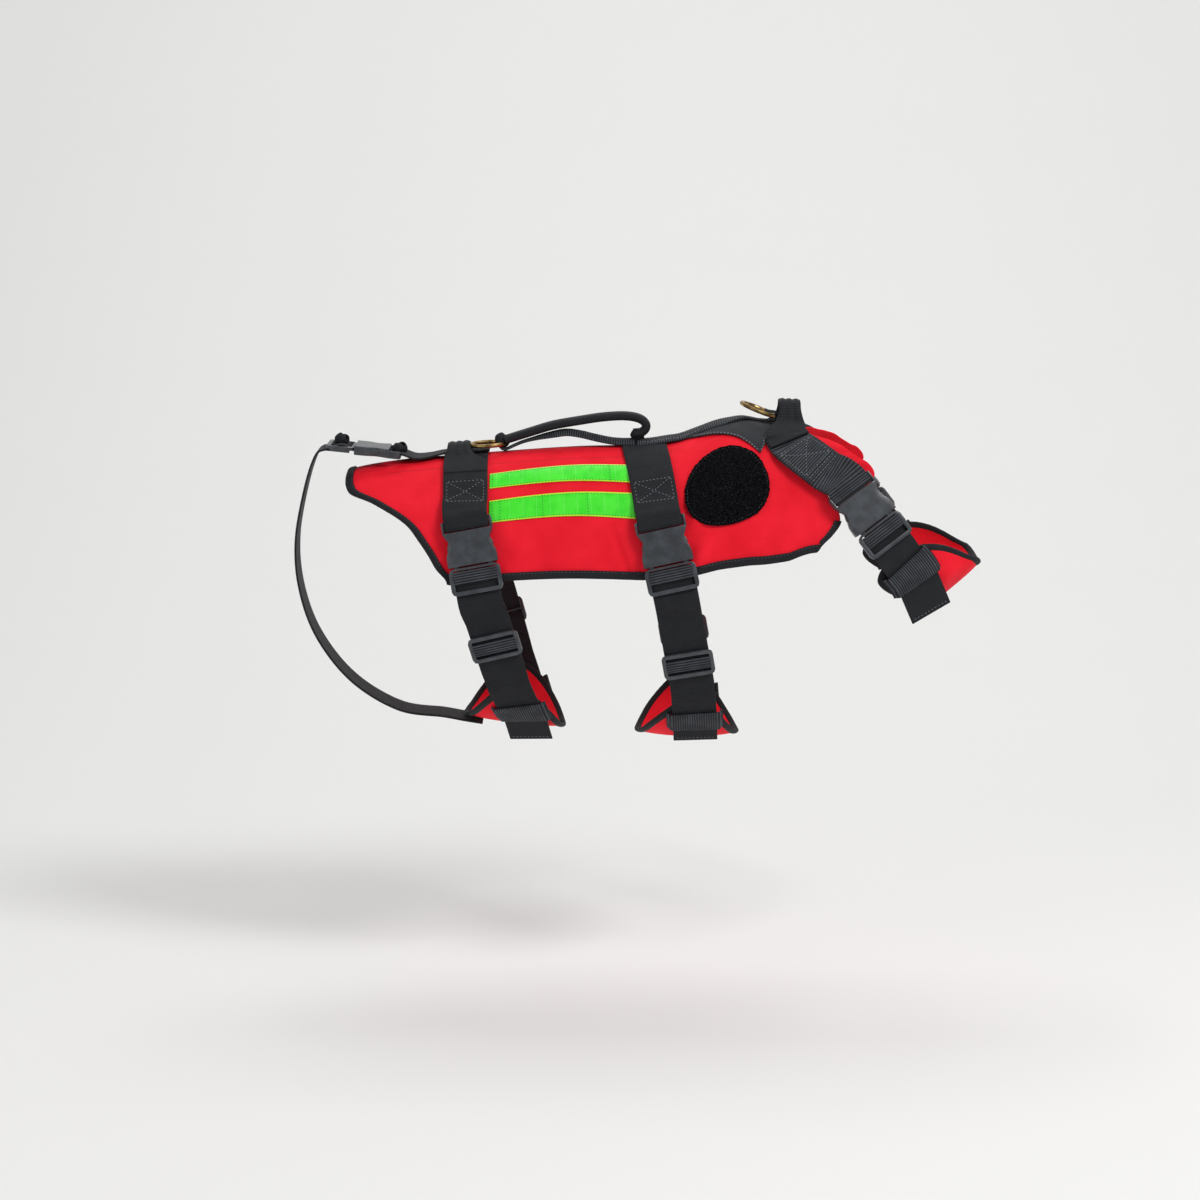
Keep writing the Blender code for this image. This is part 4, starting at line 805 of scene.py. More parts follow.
NECK_SIZE = (100, 58)
NECK_SHARES = (0, 0.15, 0.3, 0.45, 0.62, 0.8, 0.92, 1)
NECK_X = curve(list(zip(NECK_SHARES, (205, 218, 232, 246, 260, 272, 275, 268))))
NECK_Z = curve(list(zip(NECK_SHARES, (17.5, 17.5, 14, 7.5, -1, -9.5, -18, -26))))


# Where the neck cloths start under the chest strap, how far they go on along it, how far they reach under it
NECK_START, NECK_RUN, NECK_TUCK, NECK_UNDER_STRAP = 32, 92, 6.0, 2.0


def neck_edges(u):
    """The sewn edge under the chest strap, and the free edge."""
    return LINES["chest"].at(NECK_START + NECK_RUN * u, -NECK_TUCK, 0.0), near_side(NECK_X(u), NECK_Z(u))


def neck_at(u, v, height):
    sewn, free = neck_edges(u)
    w = -NECK_TUCK + np.linalg.norm(free - sewn, axis=1) * v
    wave = 0.9 * np.sin(2 * math.pi * 3 * u) + 0.25 * np.sin(2 * math.pi * 7 * u + 1.3)
    rise = NECK_UNDER_STRAP + ramp(w, 26, 36) * (0.2 + wave * (0.4 + 0.6 * v))
    return seat(sewn + (free - sewn) * v[:, None], rise + height)


def make_neck(side):
    cloth = laid(f"neck_cloth_{side}", "red_nylon", neck_at, (110, 40), NECK_SIZE, CLOTH * 0.8, side,
                 [f"neck_panel_{side}"], 0.3)
    u = np.linspace(0.0, 1.0, AREA_ROWS // 2)
    sewn, free = neck_edges(u)


# Drop of the upper edge at the rear and the front, depth, and where thread crosses the strip
STRIPS = {"upper": (48.5, 47.5, 20.0, (0.02, 0.85)), "lower": (80.5, 82.0, 25.0, (0.02, 0.075, 0.37, 0.68))}
STRIP_REAR, STRIP_FRONT, STRIP_LEAN, STRIP_BOW = -111, 26, 0.09, 4.0
STRIP_NARROWING, STRIP_WIDENING = 2.0, 4.5


def strip_at(which, u, v, height):
    rear_top, front_top, depth, _ = STRIPS[which]
    depth = depth - STRIP_NARROWING + STRIP_WIDENING * u
    drop = rear_top + (front_top - rear_top) * u - STRIP_BOW * np.sin(math.pi * u * 0.9) + depth * v
    x = STRIP_REAR + (STRIP_FRONT + STRIP_LEAN * drop - STRIP_REAR) * u
    return on_saddle(x, drop, CLOTH + LAY_GAP + height + puckers(x, drop) * 0.5)


def make_strip(which, side):
    _, _, depth, crossings = STRIPS[which]
    obj = laid(f"lime_tape_{which}_{side}", "lime", lambda u, v, h: strip_at(which, u, v, h), (100, 14),
               (128, depth), 0.8, side, [f"lime_strip_{which}_{side}"], 0.2)
    for item in obj.data.uv_layers[0].data:
        item.uv = (item.uv[0], item.uv[1] / (depth * METRE) * 2)
    seams = [seam_over(lambda t, height, at=at: strip_at(which, 0.01 + 0.97 * t, at + 0 * t, height), 0.85)
             for at in (0.07, 0.93)]
    seams += [seam_over(lambda t, height, at=at: strip_at(which, at + 0 * t, t, height), 0.85)
              for at in crossings]
    stitching(f"lime_thread_{which}_{side}", "green_thread", seams, side, 1.9, 1.2, 0.75)


PATCH_X, PATCH_DROP, PATCH_RADIUS, PATCH_SEAM = 127.5, 93.0, 42.0, 39.6
TUFT = 0.55


def patch_at(x, y, height):
    return on_saddle(PATCH_X + x, PATCH_DROP - y, CLOTH + LAY_GAP + height)


def make_patch(side):
    def place(u, v, height):
        a, b = 2 * u - 1, 2 * v - 1
        return patch_at(PATCH_RADIUS * (a * np.sqrt(1 - b * b / 2)),
                        PATCH_RADIUS * (b * np.sqrt(1 - a * a / 2)), height)

    def seam(t, height):
        return patch_at(PATCH_SEAM * np.cos(2 * math.pi * t), PATCH_SEAM * np.sin(2 * math.pi * t), height)

    obj = laid(f"loop_patch_{side}", "pile", place, (90, 90), (84, 84), 1.6, side, [f"round_patch_{side}"],
               0.5)
    rng = np.random.default_rng(7)
    for v, tuft in zip(obj.data.vertices, rng.uniform(0.0, TUFT, len(obj.data.vertices))):
        v.co += v.normal * tuft * METRE
    stitching(f"patch_thread_{side}", "black_thread", [seam_over(seam, 1.75)], side, 2.2, 1.2, 0.5)


# ---------------------------------------------------------------- webbing

FOLD_END, FOLD_HALF = 3.5, 22.3
HEM_RISE, DOUBLED = 4.2, 2 * WEBBING + 0.05
RISE_FROM, RISE_TO = 19, 10
ROLL_RADIUS, ROLL_THICK = 2.0, 0.6
BOX_HALF, BAR_HALF = 18.5, 19
STRAP_STITCH = (2.2, 1.5, 0.5)
# Pieces' first name, solid, finish, and then distances back from the end: the fold's reach, the box of
# stitching and the bars of stitching beyond it
UPPER_STRAPS = {
    "rear": ("rear_girth", "girth_strap_rear", "webbing", 63.0, (49.0, 25.0), ()),
    "front": ("front_girth", "girth_strap_front", "webbing", 63.0, (49.0, 25.0), ()),
    "chest": ("chest", "chest_strap_upper", "ribbed", 77.5, (72.5, 43.5), (39.5, 35.5)),
}


def box_stitch(line, s0, s1):
    """The box and cross that hold a folded end."""
    corners = [(s0, -BOX_HALF), (s0, BOX_HALF), (s1, BOX_HALF), (s1, -BOX_HALF), (s0, -BOX_HALF)]
    edges = list(zip(corners, corners[1:])) + [(corners[0], corners[2]), (corners[1], corners[3])]
    return [on_band(line, *a, *b, DOUBLED) for a, b in edges]


def fold_roll(name, line, s, side):
    """The turned end of doubled webbing: a half-round roll across it."""

    def place(u, v, height):
        angle = math.pi * (u - 0.5)
        r = ROLL_RADIUS - ROLL_THICK + height
        return line.at(s + r * np.cos(angle), (2 * v - 1) * WEBBING_WIDTH / 2,
                       HEM_RISE + ROLL_RADIUS + r * np.sin(angle))

    laid(name, "webbing", place, (10, 20), (8, WEBBING_WIDTH), ROLL_THICK, side)


def make_upper_strap(which, half=WEBBING_WIDTH / 2, shift=0.0, step=2.5):
    """A strap over the back, with each end folded round its buckle's bar and sewn down."""
    name, node, finish, fold, box, bars = UPPER_STRAPS[which]
    line = LINES[which]
    end = BUCKLE_AT[which] + FOLD_END

    def rise(s):
        return HEM_RISE * ramp(np.abs(s), end - RISE_FROM, end - RISE_TO)

    band(f"{name}_webbing", line, -end, end, rise, half=half, shift=shift, finish=finish, nodes=[node],
         step=step)
    for side in SIDES:
        band(f"{name}_fold_{side}", line, end - fold, end, lambda s: rise(s) + WEBBING + 0.05, side,
             FOLD_HALF, thick=WEBBING - 0.1, finish=finish, step=2.5)
        fold_roll(f"{name}_turn_{side}", line, end, side)
        seams = box_stitch(line, end - box[0], end - box[1])
        seams += [on_band(line, end - bar, -BAR_HALF, end - bar, BAR_HALF, DOUBLED) for bar in bars]
        stitching(f"{name}_thread_{side}", "grey_thread", seams, side, *STRAP_STITCH)


CHEST_NARROWING, CHEST_AHEAD = 16.0, 14.0


def chest_middle(s):
    """1 over the withers, where the chest strap is narrowed and pushed ahead, and 0 further down."""
    return 1 - ramp(np.abs(s), 12, 34)


BAR_AT, OVER_BAR, BAR_SLOPE = 10.0, 2.7, (3, 9)
LOOP_HALF, LOOP_RISE, LOOP_THICK = 6.0, 1.3, 1.4


def make_lower_strap(which, side):
    line, end = LINES[which], STRAP_END[which]
    bars = [BUCKLE_AT[which] + FEMALE_LENGTH + BAR_AT]
    if which in GLIDE_AT:
        bars.append(GLIDE_AT[which] + GLIDE_LENGTH / 2)

    def over_bars(s):
        return sum(OVER_BAR * (1 - ramp(np.abs(s - bar), *BAR_SLOPE)) for bar in bars)

    band(f"{which}_lower_webbing_{side}", line, bars[0] + 2, end, over_bars, side,
         nodes=[f"{which}_strap_lower_{side}"], step=2.0)
    for k, bar in enumerate(bars):
        def bulge(s, bar=bar):
            return OVER_BAR + WEBBING * 0.75 + LOOP_RISE * (1 - ((s - bar) / LOOP_HALF) ** 2)

        band(f"{which}_bar_loop_{k}_{side}", line, bar - LOOP_HALF, bar + LOOP_HALF, bulge, side, 22.0,
             thick=LOOP_THICK, finish="ribbed", step=0.8)
    stitching(f"{which}_tail_thread_{side}", "grey_thread",
              [on_band(line, end - 4, -20, end - 4, 20, WEBBING)], side, *STRAP_STITCH)


# ---------------------------------------------------------------- pads

PAD_BINDING, PAD_INSET = 8.0, 7.2
KEEPER_GAP, KEEPER_WIDTH = 0.92, 25
CHEST_TOP_DROP, CHEST_FOOT_RISE = 5.0, 15.0
# How much more an inset counts at a pad's pointed ends, and how round its outline is
END_INSET, PAD_ROUND = 1.3, 0.6
TAPE_HALF_THICK = 1.9


def pad_point(which, q, w, height):
    """Points q along a pad from its middle, positive on the near side, and w across it."""
    line = PAD_LINES[which]
    if which == "chest":
        p, _, across, _ = line.frame(q)
        share = w / PADS[which][1]
        w = w + CHEST_TOP_DROP * np.maximum(0, -share) - CHEST_FOOT_RISE * np.maximum(0, share)
        return seat(p + across * np.reshape(w, (-1, 1)), height)
    p, _, across, _ = line.frame(line.s[-1] - np.abs(q))
    middle = (np.abs(q) < 2.0)[:, None]
    across = np.where(middle, np.array([1.0, 0, 0]), across)
    found = seat(p + across * np.reshape(w, (-1, 1)), height)
    found[:, 1] *= np.where(q < 0, -1, 1)
    return found


def pad_half(which, q, inset):
    half_length, half_width, power = PADS[which][:3]
    share = np.minimum(1.0, np.abs(q) / (half_length - inset * END_INSET))
    return (half_width - inset) * (1 - share**power) ** PAD_ROUND


def make_pad(which):
    reach = (PADS[which][0] - PAD_INSET * END_INSET) * 0.988
    widest = math.pi / 2 * 0.93

    def place(u, v, height):
        turn = (2 * u - 1) * widest
        q = reach * np.sin(turn) / math.sin(widest)
        share = 2 * v - 1
        crown = 1.5 * (1 - share**4) * (1 - (q / reach) ** 6)
        creases = 0.35 * np.sin(q / 4.6 + 3 * share) * (1 - share**2) * ramp(np.abs(q), 20, 60)
        low = PAD_LIFT + 0.2 + crown + creases
        return pad_point(which, q, pad_half(which, q, PAD_INSET - 0.6) * share, low + height)

    obj = laid(f"{which}_pad_cloth", "red_nylon", place, (96, 48), (180, 90), 2.9, nodes=[f"{which}_pad"],
               bevel=0.6)


def make_pad_binding(which):
    half_length, half_width, power = PADS[which][:3]

    def place(u, v, height):
        turn, angle = 2 * math.pi * u, 2 * math.pi * v
        grow = 1.0 + height * 0.2
        inset = PAD_BINDING / 2 * (1 - np.cos(angle) * grow)
        q = (half_length - inset * END_INSET) * np.sin(turn)
        reach = np.maximum(0, 1 - np.abs(np.sin(turn)) ** power) ** PAD_ROUND
        w = np.sign(np.cos(turn)) * (half_width - inset) * reach
        return pad_point(which, q, w, PAD_LIFT + TAPE_HALF_THICK * (1 - np.sin(angle) * grow))

    laid(f"{which}_pad_tape", "grosgrain", place, (150, 12), (420, 20), 0.3, nodes=[f"{which}_pad_binding"])


def make_keeper(which, side):
    line, (_, _, _, at, half) = LINES[which], PADS[which]
    ends = WEBBING_WIDTH / 2 + 1.0

    def place(u, v, height):
        w = (2 * u - 1) * half
        s = at + (2 * v - 1) * KEEPER_WIDTH / 2
        over = line.at(s, w, WEBBING + KEEPER_GAP + height)
        under = seat(line.at(s, w, 0.0 * w), PAD_LIFT + PAD + LAY_GAP + height)
        share = ramp(np.abs(w), ends, half - 2)[:, None]
        return over * (1 - share) + under * share

    laid(f"{which}_keeper_webbing_{side}", "ribbed", place, (44, 8), (2 * half, KEEPER_WIDTH), WEBBING, side,
         [f"{which}_keeper_{side}"], 0.45)


# ---------------------------------------------------------------- buckles, tri-glides and rings

BUCKLE_WIDTH, RAIL = 52.0, 4.6


def round_edges(bm, width, angle=30):
    sharp = [e for e in bm.edges if len(e.link_faces) == 2 and e.calc_face_angle() > math.radians(angle)]
    bmesh.ops.bevel(bm, geom=sharp, offset=width, segments=2, profile=0.5, affect="EDGES", material=-1,
                    clamp_overlap=True)


def thicken(bm, faces, height):
    """Makes a solid of flat faces, from where they lie up to this height above."""
    made = bmesh.ops.extrude_face_region(bm, geom=faces)
    top = [v for v in made["geom"] if isinstance(v, bmesh.types.BMVert)]
    bmesh.ops.translate(bm, vec=(0, 0, height), verts=top)
    bmesh.ops.recalc_face_normals(bm, faces=bm.faces)


def plate(outline, low, high):
    bm = bmesh.new()
    face = bm.faces.new([bm.verts.new((x, y, low)) for x, y in outline])
    thicken(bm, [face], high - low)
    return bm


def rounded(outline, low, high, edge):
    bm = plate(outline, low, high)
    round_edges(bm, edge)
    return bm


def cheeks(middle, half_thick, y0, y1, low, high, edge):
    """The two side walls of a buckle half or tri-glide."""
    return [rounded([(x - half_thick, y0), (x + half_thick, y0), (x + half_thick, y1), (x - half_thick, y1)],
                    low, high, edge) for x in (middle, -middle)]


def merge(*parts):
    """One bmesh from several closed ones."""
    whole = bmesh.new()
    for part in parts:
        mesh = bpy.data.meshes.new("step")
        part.to_mesh(mesh)
        part.free()
        whole.from_mesh(mesh)
        bpy.data.meshes.remove(mesh)
    return whole


def framed(x_half, y0, y1, rail_x, rail_y0, rail_y1, low, high, corner, edge):
    """A flat frame: a plate with round corners whose middle is cut out."""
    cut = corner * 0.3
    outer = [(x_half - corner, y0), (x_half - cut, y0 + cut), (x_half, y0 + corner), (x_half, y1 - corner),
             (x_half - cut, y1 - cut), (x_half - corner, y1)]
    outer += [(-x, y) for x, y in reversed(outer)]
    bm = plate(outer, low, high)
    caps = sorted((f for f in bm.faces if len(f.verts) > 4), key=lambda f: f.calc_center_median().z)
    bmesh.ops.inset_individual(bm, faces=caps, thickness=min(rail_x, rail_y0, rail_y1) * 0.98)
    for face in caps:
        for v in face.verts:
            x_in = x_half - rail_x
            v.co.x = max(-x_in, min(x_in, v.co.x * 1.02))
            v.co.y = max(y0 + rail_y0, min(y1 - rail_y1, v.co.y))
    loops = [list(face.edges) for face in caps]
    bmesh.ops.delete(bm, geom=caps, context="FACES_ONLY")
    bmesh.ops.bridge_loops(bm, edges=loops[0] + loops[1])
    bmesh.ops.remove_doubles(bm, verts=bm.verts, dist=0.01)
    bmesh.ops.recalc_face_normals(bm, faces=bm.faces)
    round_edges(bm, edge, 40)
    return bm


SOCKET_WAIST = curve([(6, 24.4), (10, 24.2), (14, 21.8), (18, 20.8), (22, 21.4), (27, 23.8), (31, 25.0),
                      (42, 25.3)])
SOCKET_LOW, SOCKET_DEPTH = -1.0, 9.0
PRONG = [(15.0, 1.5), (15.0, -14.0), (17.5, -25.4), (21.4, -26.0), (23.4, -20.5), (23.2, -16.8),
         (20.6, -15.2), (19.8, 1.5)]
BAR_RADIUS, BAR_HEIGHT = 1.15, 1.25


def socket_mesh():
    """The socket half: local Y runs down the strap from its webbing bar."""
    half = BUCKLE_WIDTH / 2 - 0.4
    body = bmesh.new()
    bmesh.ops.create_grid(body, x_segments=8, y_segments=26, size=0.5)
    for v in body.verts:
        y = 6.4 + (v.co.y + 0.5) * (FEMALE_LENGTH - 7.0)
        v.co = (2 * v.co.x * SOCKET_WAIST(y), y, SOCKET_LOW)
    thicken(body, body.faces[:], SOCKET_DEPTH)
    round_edges(body, 0.75, 50)
    bar = framed(half, -6.0, 9.5, 3.0, 3.2, 2.6, SOCKET_LOW, 3.4, 4.0, 0.5)
    return mesh_from("socket", merge(body, bar, *cheeks(half - 1.3, 1.2, -5.0, 8.0, 1.0, 6.6, 0.8)))


def ladder_mesh(length, bar_at, top_rail, plug):
    half = BUCKLE_WIDTH / 2
    hoop = framed(half, 0.4, length, RAIL - 0.4, top_rail, RAIL - 0.3, 2.6, 6.0, 5.0, 0.8)
    parts = [hoop] + cheeks(half - 2.1, 1.7, 4.0, length - 4.0, 0.2, 4.2, 0.7)
    bar = bmesh.new()
    across = Matrix.Translation((0, bar_at, BAR_HEIGHT)) @ Matrix.Rotation(math.pi / 2, 4, "Y")
    bmesh.ops.create_cone(bar, cap_ends=True, segments=14, radius1=BAR_RADIUS, radius2=BAR_RADIUS,
                          depth=BUCKLE_WIDTH - 6, matrix=across)
    parts.append(bar)
    if plug:
        parts += [rounded([(sign * x, y) for x, y in PRONG], 1.7, 5.3, 0.8) for sign in (1, -1)]
    return mesh_from("ladder", merge(*parts))


def set_hard(name, mesh, finish, turn, node, body="harness"):
    """A hard piece, turned into its place in its own mesh."""
    mesh = mesh.copy()
    mesh.transform(Matrix.Scale(METRE, 4) @ turn)
    dress(name, mesh, finish, [node], body)


HIP_BUCKLE_PLACE, HIP_BUCKLE_TILT = Vector((-209.0, 0, -4.2)), math.radians(6)


def make_hardware():
    socket = socket_mesh()
    plug = ladder_mesh(MALE_LENGTH, BAR_AT, 2.4, True)
    glide = ladder_mesh(GLIDE_LENGTH, GLIDE_LENGTH / 2, RAIL - 0.3, False)
    flip = Matrix.Scale(-1, 4, Vector((0, 1, 0)))
    turn_over = Matrix.Scale(-1, 4, Vector((1, 0, 0)))
    places = []
    for which, at in BUCKLE_AT.items():
        places += [(f"{which}_buckle_socket", socket, which, at),
                   (f"{which}_buckle_plug", plug, which, at + FEMALE_LENGTH)]
    places += [(f"{which}_triglide", glide, which, at) for which, at in GLIDE_AT.items()]
    for name, mesh, which, at in places:
        for side in SIDES:
            turn = LINES[which].matrix(at)
            if side == "left":
                turn = flip @ turn @ turn_over
            set_hard(f"{name}_{side}_moulded", mesh, "acetal", turn, f"{name}_{side}")
    lie = (Matrix.Translation(HIP_BUCKLE_PLACE) @ Matrix.Rotation(HIP_BUCKLE_TILT, 4, "Y")
           @ Matrix.Rotation(math.pi / 2, 4, "Z"))
    for name, mesh, run in (("socket", socket, 0.0), ("plug", plug, FEMALE_LENGTH)):
        turn = lie @ Matrix.Translation((0, run, 0))
        set_hard(f"hip_buckle_{name}_moulded", mesh, "acetal", turn, f"hip_buckle_{name}")


RING_WIRE, RING_MIDDLE = 4.4, 17.8
# The middle of the wire where each ring hangs, the ring's tilt in degrees and its body
RINGS = {"front_ring": (178.0, 36.0, 22, "front_ring"), "rear_ring": (-97.0, 8.0, -3, "harness")}


def make_rings():
    bm = bmesh.new()
    made = bmesh.ops.create_circle(bm, cap_ends=False, segments=16, radius=RING_WIRE / 2)
    bmesh.ops.rotate(bm, cent=(0, 0, 0), matrix=Matrix.Rotation(math.pi / 2, 3, "X"), verts=made["verts"])
    bmesh.ops.translate(bm, vec=(RING_MIDDLE, 0, 0), verts=made["verts"])
    bmesh.ops.spin(bm, geom=bm.verts[:] + bm.edges[:], cent=(0, 0, 0), axis=(0, 0, 1), dvec=(0, 0, 0),
                   angle=2 * math.pi, steps=64, use_merge=True)
    bmesh.ops.recalc_face_normals(bm, faces=bm.faces)
    ring = mesh_from("ring", bm)
    for name, (x, z, tilt, body) in RINGS.items():
        turn = (Matrix.Translation((x, 0, z)) @ Matrix.Rotation(math.radians(tilt), 4, "Y")
                @ Matrix.Translation((-RING_MIDDLE, 0, 0)))
        set_hard(f"{name}_brass", ring, "brass", turn, name, body)


# ---------------------------------------------------------------- ring loops, spine, handle and hip


def make_ring_loop(name, which, rows, offset, node):
    line = LINES[which]
    height_of, half_of = curve([r[:2] for r in rows]), curve([(r[0], r[2]) for r in rows])
    end = rows[-1][0]

    def middle(s):
        stands = np.linalg.norm(line.near(s, line.points) - seat(line.near(s, line.points)), axis=1)
        return line.at(s, 0 * s, height_of(np.abs(s)) - stands)

    def place(u, v, height):
        s = -end + 2 * end * u
        across = line.frame(s)[2]
        normal = unit(np.cross(middle(s + 0.5) - middle(s - 0.5), across))
        half = half_of(np.abs(s)) * (2 * v - 1)
        base = middle(s) + across * (half + offset * (1 - ramp(np.abs(s), 16, 34)))[:, None]
        gathered = 1 - ramp(np.abs(s), 12, 30)
        waves = 0.55 * np.cos((2 * v - 1) * math.pi * 3.0) * gathered
        return base + normal * np.reshape(waves + height, (-1, 1))

    laid(name, "webbing", place, (72, 18), (2 * end, 44), WEBBING, nodes=[node], bevel=0.4)


def middle_band(name, rows, half, thick, node, finish="webbing", step=2.0, droop=0.0):
    """Webbing in the middle plane, whose rows give the middle of its thickness, and its edges' droop."""
    line = ridge_line(rows)
    length = line.s[-1]

    def place(u, v, height):
        hang = value(droop, u) * (2 * v - 1) ** 2
        return line.at(length * u, (2 * v - 1) * value(half, u), thick * (height - 0.5) - hang)

    laid(name, finish, place, (max(4, int(length / step)), BAND_COLUMNS), (length, 40), WEBBING,
         nodes=[node], bevel=BAND_BEVEL)
    return line


def clear_of(rows, angle=0.0):
    """x and z of points in the middle plane, from rows of x and the height over the figure."""
    points = [seat(section(np.array([float(x)]), np.array([angle])), lift)[0] for x, lift in rows]
    return [(p[0], p[2]) for p in points]


def arc(x, z, radius, degrees):
    return [(x + radius * math.cos(math.radians(a)), z + radius * math.sin(math.radians(a))) for a in degrees]


def roll_along(name, line, section_at, counts, nodes=()):
    """A closed roll of webbing along a line; section_at(angle) gives across and height."""
    length = line.s[-1]
    bm, u, v = pattern_grid(counts, (length, 40))
    across, high = section_at(2 * math.pi * v)
    for vert, p in zip(bm.verts, line.at(length * u, across, high) * METRE):
        vert.co = p
    bmesh.ops.remove_doubles(bm, verts=bm.verts, dist=1e-5)
    bmesh.ops.holes_fill(bm, edges=[e for e in bm.edges if e.is_boundary], sides=0)
    bmesh.ops.recalc_face_normals(bm, faces=bm.faces)
    dress(name, mesh_from(name, bm), "webbing", nodes)


# x and z of each knot, its size and its turn
KNOTS = {
    "handle_end_knot": (-100.0, 11.5, 7.0, 0.5),
    "handle_front_knot": (38.0, 15.5, 7.0, 1.2),
    "hip_buckle_rear_knot": (-264.0, 12.0, 6.6, 0.3),
    "hip_buckle_front_knot": (-205.0, 2.5, 6.8, -0.2),
}


def make_knot(name):
    """Flat webbing tied over itself: a short three-lobed knot pulled tight."""
    x, z, size, turn = KNOTS[name]
    centre = np.array([x, 0.0, z])
    t = np.linspace(0, 2 * math.pi, 90, endpoint=False)
    reach = 1.35 + 0.75 * np.cos(3 * t)
    lobes = np.stack([reach * np.cos(2 * t), reach * np.sin(2 * t), np.sin(3 * t)], axis=-1) * size / 2.1
    lobes = lobes @ np.array(Matrix.Rotation(turn, 3, "Y")).T + centre
    closed = np.concatenate([lobes, lobes[:1]])
    line = Line(run_of(closed), closed, unit(closed - centre))
    roll_along(name, line, lambda angle: (size * 0.62 * np.cos(angle), size * 0.2 * np.sin(angle)), (90, 12))


# Rows of distance from the middle, height over the figure and half width
REAR_LOOP = [(0, 13.6, 11), (8, 13.2, 11), (15, 10, 12.5), (22, 6.8, 16), (32, 5.8, 21.5), (46, 5.8, 22)]
FRONT_LOOP = [(0, 27.5, 10.5), (7, 26.6, 10.5), (13, 20, 11), (19, 12.4, 14), (28, 10.3, 19),
              (46, 10.0, 21.5)]
# Rows of x and height over the figure, for webbing along the spine and under the belly
SPINE_REAR = [(-112, 6.3), (-135, 6.3), (-158, 6.3), (-174, 4.0), (-188, 4.0)]
SPINE_FRONT = [(38, 6.9), (54, 6.9), (70, 6.9), (84, 5.6), (104, 5.6), (124, 5.6), (146, 5.6), (162, 5.6)]
HIP_LANDING = [(-160, 7.2), (-138, 7.2), (-120, 7.2)]
# Rows of x and z, for webbing that stands free in the middle plane
SPINE_REAR_END = [(-200.0, -1.6), (-207.9, -0.2)]
SPINE_FRONT_END = [(172.0, 41.2), (168.0, 42.8)]
GRIP = [(-97, 11.5), (-86, 15), (-70, 20), (-48, 26.5), (-20, 31.5), (4, 35), (26, 36), (41, 33),
        (47.5, 26), (43, 19.6), (34, 18.4)]
GRIP_HALF_WIDTH, GRIP_HALF_HEIGHT, GRIP_FOLD = 10.6, 4.4, 0.8
HANDLE_BASE = [(-84, 7.6), (-70, 13), (-54, 18.2), (-36, 22), (-20, 20.4), (-4, 16.6), (12, 13.4),
               (24, 12.5), (36, 12.7)]
HIP_STRAP = [(-257, 5.4), (-261, 8), (-266.5, 8), (-272.5, 3.6), (-281, 3.6), (-290, -3), (-301, -36),
             (-311, -90), (-308, -140), (-291, -190), (-256, -236), (-208, -266)]


def make_spine():
    make_ring_loop("rear_ring_webbing", "rear", REAR_LOOP, -7.0, "rear_ring_loop")
    make_ring_loop("front_ring_webbing", "chest", FRONT_LOOP, 6.0, "front_ring_loop")
    middle_band("spine_webbing_rear", clear_of(SPINE_REAR) + SPINE_REAR_END,
                lambda t: 15.0 + 7.0 * ramp(t, 0.45, 0.8), WEBBING, "spine_strap_rear")
    round_ring = arc(*RINGS["front_ring"][:2], 4.5, range(-75, 101, 25))
    line = middle_band("spine_webbing_front", clear_of(SPINE_FRONT) + round_ring + SPINE_FRONT_END,
                       lambda t: 18.0 - 12.8 * ramp(t, 0.52, 0.76), WEBBING, "spine_strap_front", "ribbed",
                       1.5, lambda t: 3.4 * (1 - ramp(t, 0.5, 0.66)))
    stitching("spine_thread", "grey_thread",
              [on_band(line, 2, across, 66, across, -0.75) for across in (13.5, -13.5)])


def grip_section(angle):
    """A rounded oblong with a low ridge along its underside, where the webbing's edges meet."""
    across, up = np.cos(angle), np.sin(angle)
    fold = GRIP_FOLD * np.exp(-(np.abs(angle - math.pi * 1.5) / 0.22) ** 2)
    return (GRIP_HALF_WIDTH * np.sign(across) * np.abs(across) ** 0.6,
            GRIP_HALF_HEIGHT * np.sign(up) * np.abs(up) ** 0.75 + fold)


def make_handle():
    roll_along("handle_grip_webbing", ridge_line(GRIP), grip_section, (120, 36), ["handle_grip"])
    for name in KNOTS:
        make_knot(name)
    round_ring = arc(*RINGS["rear_ring"][:2], 5.9, range(130, 287, 26))
    middle_band("handle_base_webbing", round_ring + HANDLE_BASE, lambda t: 8.0 + 4.0 * ramp(t, 0.18, 0.4),
                2.2, "handle_base", "ribbed", droop=lambda t: 4.6 * ramp(t, 0.2, 0.5))
    middle_band("hip_webbing", HIP_STRAP + clear_of(HIP_LANDING, math.pi), WEBBING_WIDTH / 2, WEBBING,
                "hip_strap", step=3.0)


# ---------------------------------------------------------------- stage, light and camera


FLOOR_FRONT, FLOOR_LENGTH, SWEEP, PAPER_LENGTH, PAPER_WIDTH, FLOOR_Z = -3.5, 4.2, 1.5, 9.0, 12, -0.56
# Place, what it points at, width and power
LIGHTS = {
    "key_softbox": ((1.7, -1.9, 2.3), (0, 0, -0.1), 1.2, 58),
    "fill_softbox": ((-2.2, -1.8, 1.0), (0, 0, -0.1), 1.8, 12),
    "top_softbox": ((0, 0.9, 2.2), (0, 0, 0), 1.6, 16),
}
CAMERA_AIM, CAMERA_TILT, CAMERA_DISTANCE, LENS = Vector((0, 0, -0.155)), math.radians(10), 3.2, 93.0


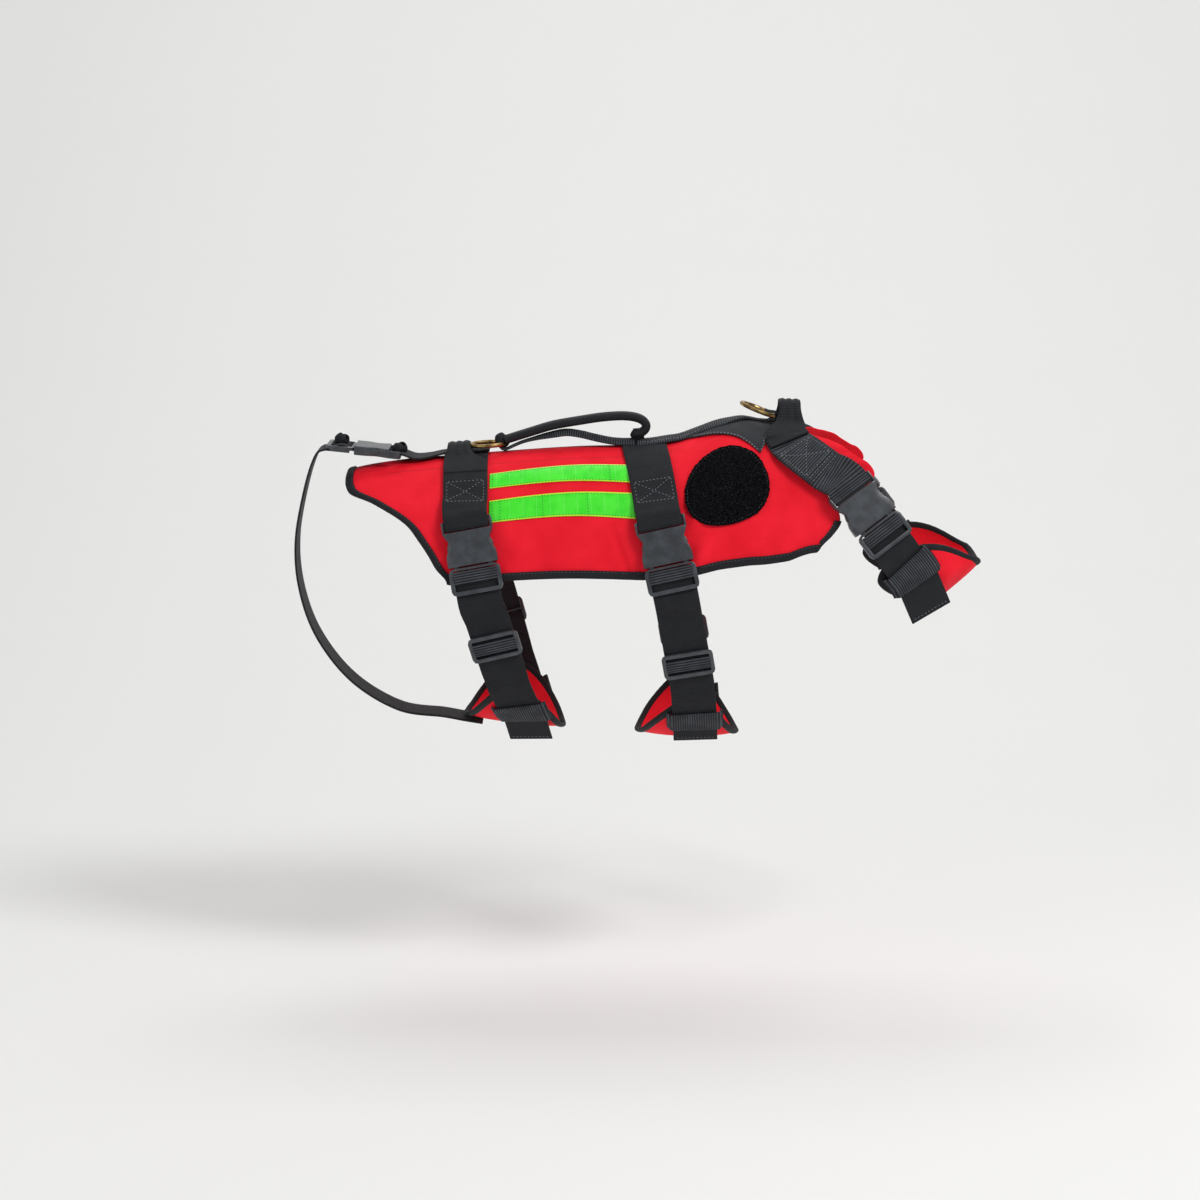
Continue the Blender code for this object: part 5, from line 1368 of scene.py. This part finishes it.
def make_stage():
    """Backdrop paper that lies flat, turns up in a quarter circle and goes on upright."""
    bm = bmesh.new()
    bmesh.ops.create_grid(bm, x_segments=1, y_segments=40, size=0.5)
    for v in bm.verts:
        run = (v.co.y + 0.5) * PAPER_LENGTH
        angle = min(max(0.0, run - FLOOR_LENGTH) / SWEEP, math.pi / 2)
        y = FLOOR_FRONT + min(run, FLOOR_LENGTH) + SWEEP * math.sin(angle)
        z = SWEEP * (1 - math.cos(angle)) + max(0.0, run - FLOOR_LENGTH - SWEEP * math.pi / 2)
        v.co = (v.co.x * PAPER_WIDTH, y, z + FLOOR_Z)
    bmesh.ops.recalc_face_normals(bm, faces=bm.faces)
    mesh = mesh_from("backdrop", bm)
    mesh.materials.append(finish_of("pale_backdrop_paper", "#F4F4F3", 0.9)[0])
    mesh.shade_smooth()
    put("backdrop", mesh)


def aim(obj, place, at):
    obj.location = place
    obj.rotation_euler = (Vector(at) - Vector(place)).to_track_quat("-Z", "Y").to_euler()


def light_and_camera():
    for name, (place, at, width, power) in LIGHTS.items():
        lamp = bpy.data.lights.new(name, "AREA")
        lamp.shape = "RECTANGLE"
        lamp.size = width
        lamp.size_y = width * 0.7
        lamp.energy = power
        aim(put(name, lamp), place, at)
    world = bpy.data.worlds.new("studio")
    world.use_nodes = True
    feed(world.node_tree, world.node_tree.nodes["Background"], {"Color": "#FFFFFF", "Strength": 0.40})
    scene = bpy.context.scene
    scene.world = world
    scene.view_settings.view_transform = "Standard"
    lens = bpy.data.cameras.new("camera")
    lens.lens = LENS
    lens.sensor_width = 36.0
    scene.camera = put("camera", lens)
    away = Vector((0, -math.cos(CAMERA_TILT), math.sin(CAMERA_TILT)))
    aim(scene.camera, CAMERA_AIM + away * CAMERA_DISTANCE, CAMERA_AIM)


def make_harness():
    make_saddle(make_binding())
    make_yoke()
    for side in SIDES:
        make_neck(side)
        make_patch(side)
        for which in STRIPS:
            make_strip(which, side)
        for which in PADS:
            make_lower_strap(which, side)
            make_keeper(which, side)
    make_upper_strap("rear")
    make_upper_strap("front")
    make_upper_strap("chest", lambda s: WEBBING_WIDTH / 2 - CHEST_NARROWING * chest_middle(s),
                     lambda s: CHEST_AHEAD * chest_middle(s), 2.0)
    for which in PADS:
        make_pad(which)
        make_pad_binding(which)
    make_hardware()
    make_rings()
    make_spine()
    make_handle()


make_stage()
light_and_camera()
make_harness()
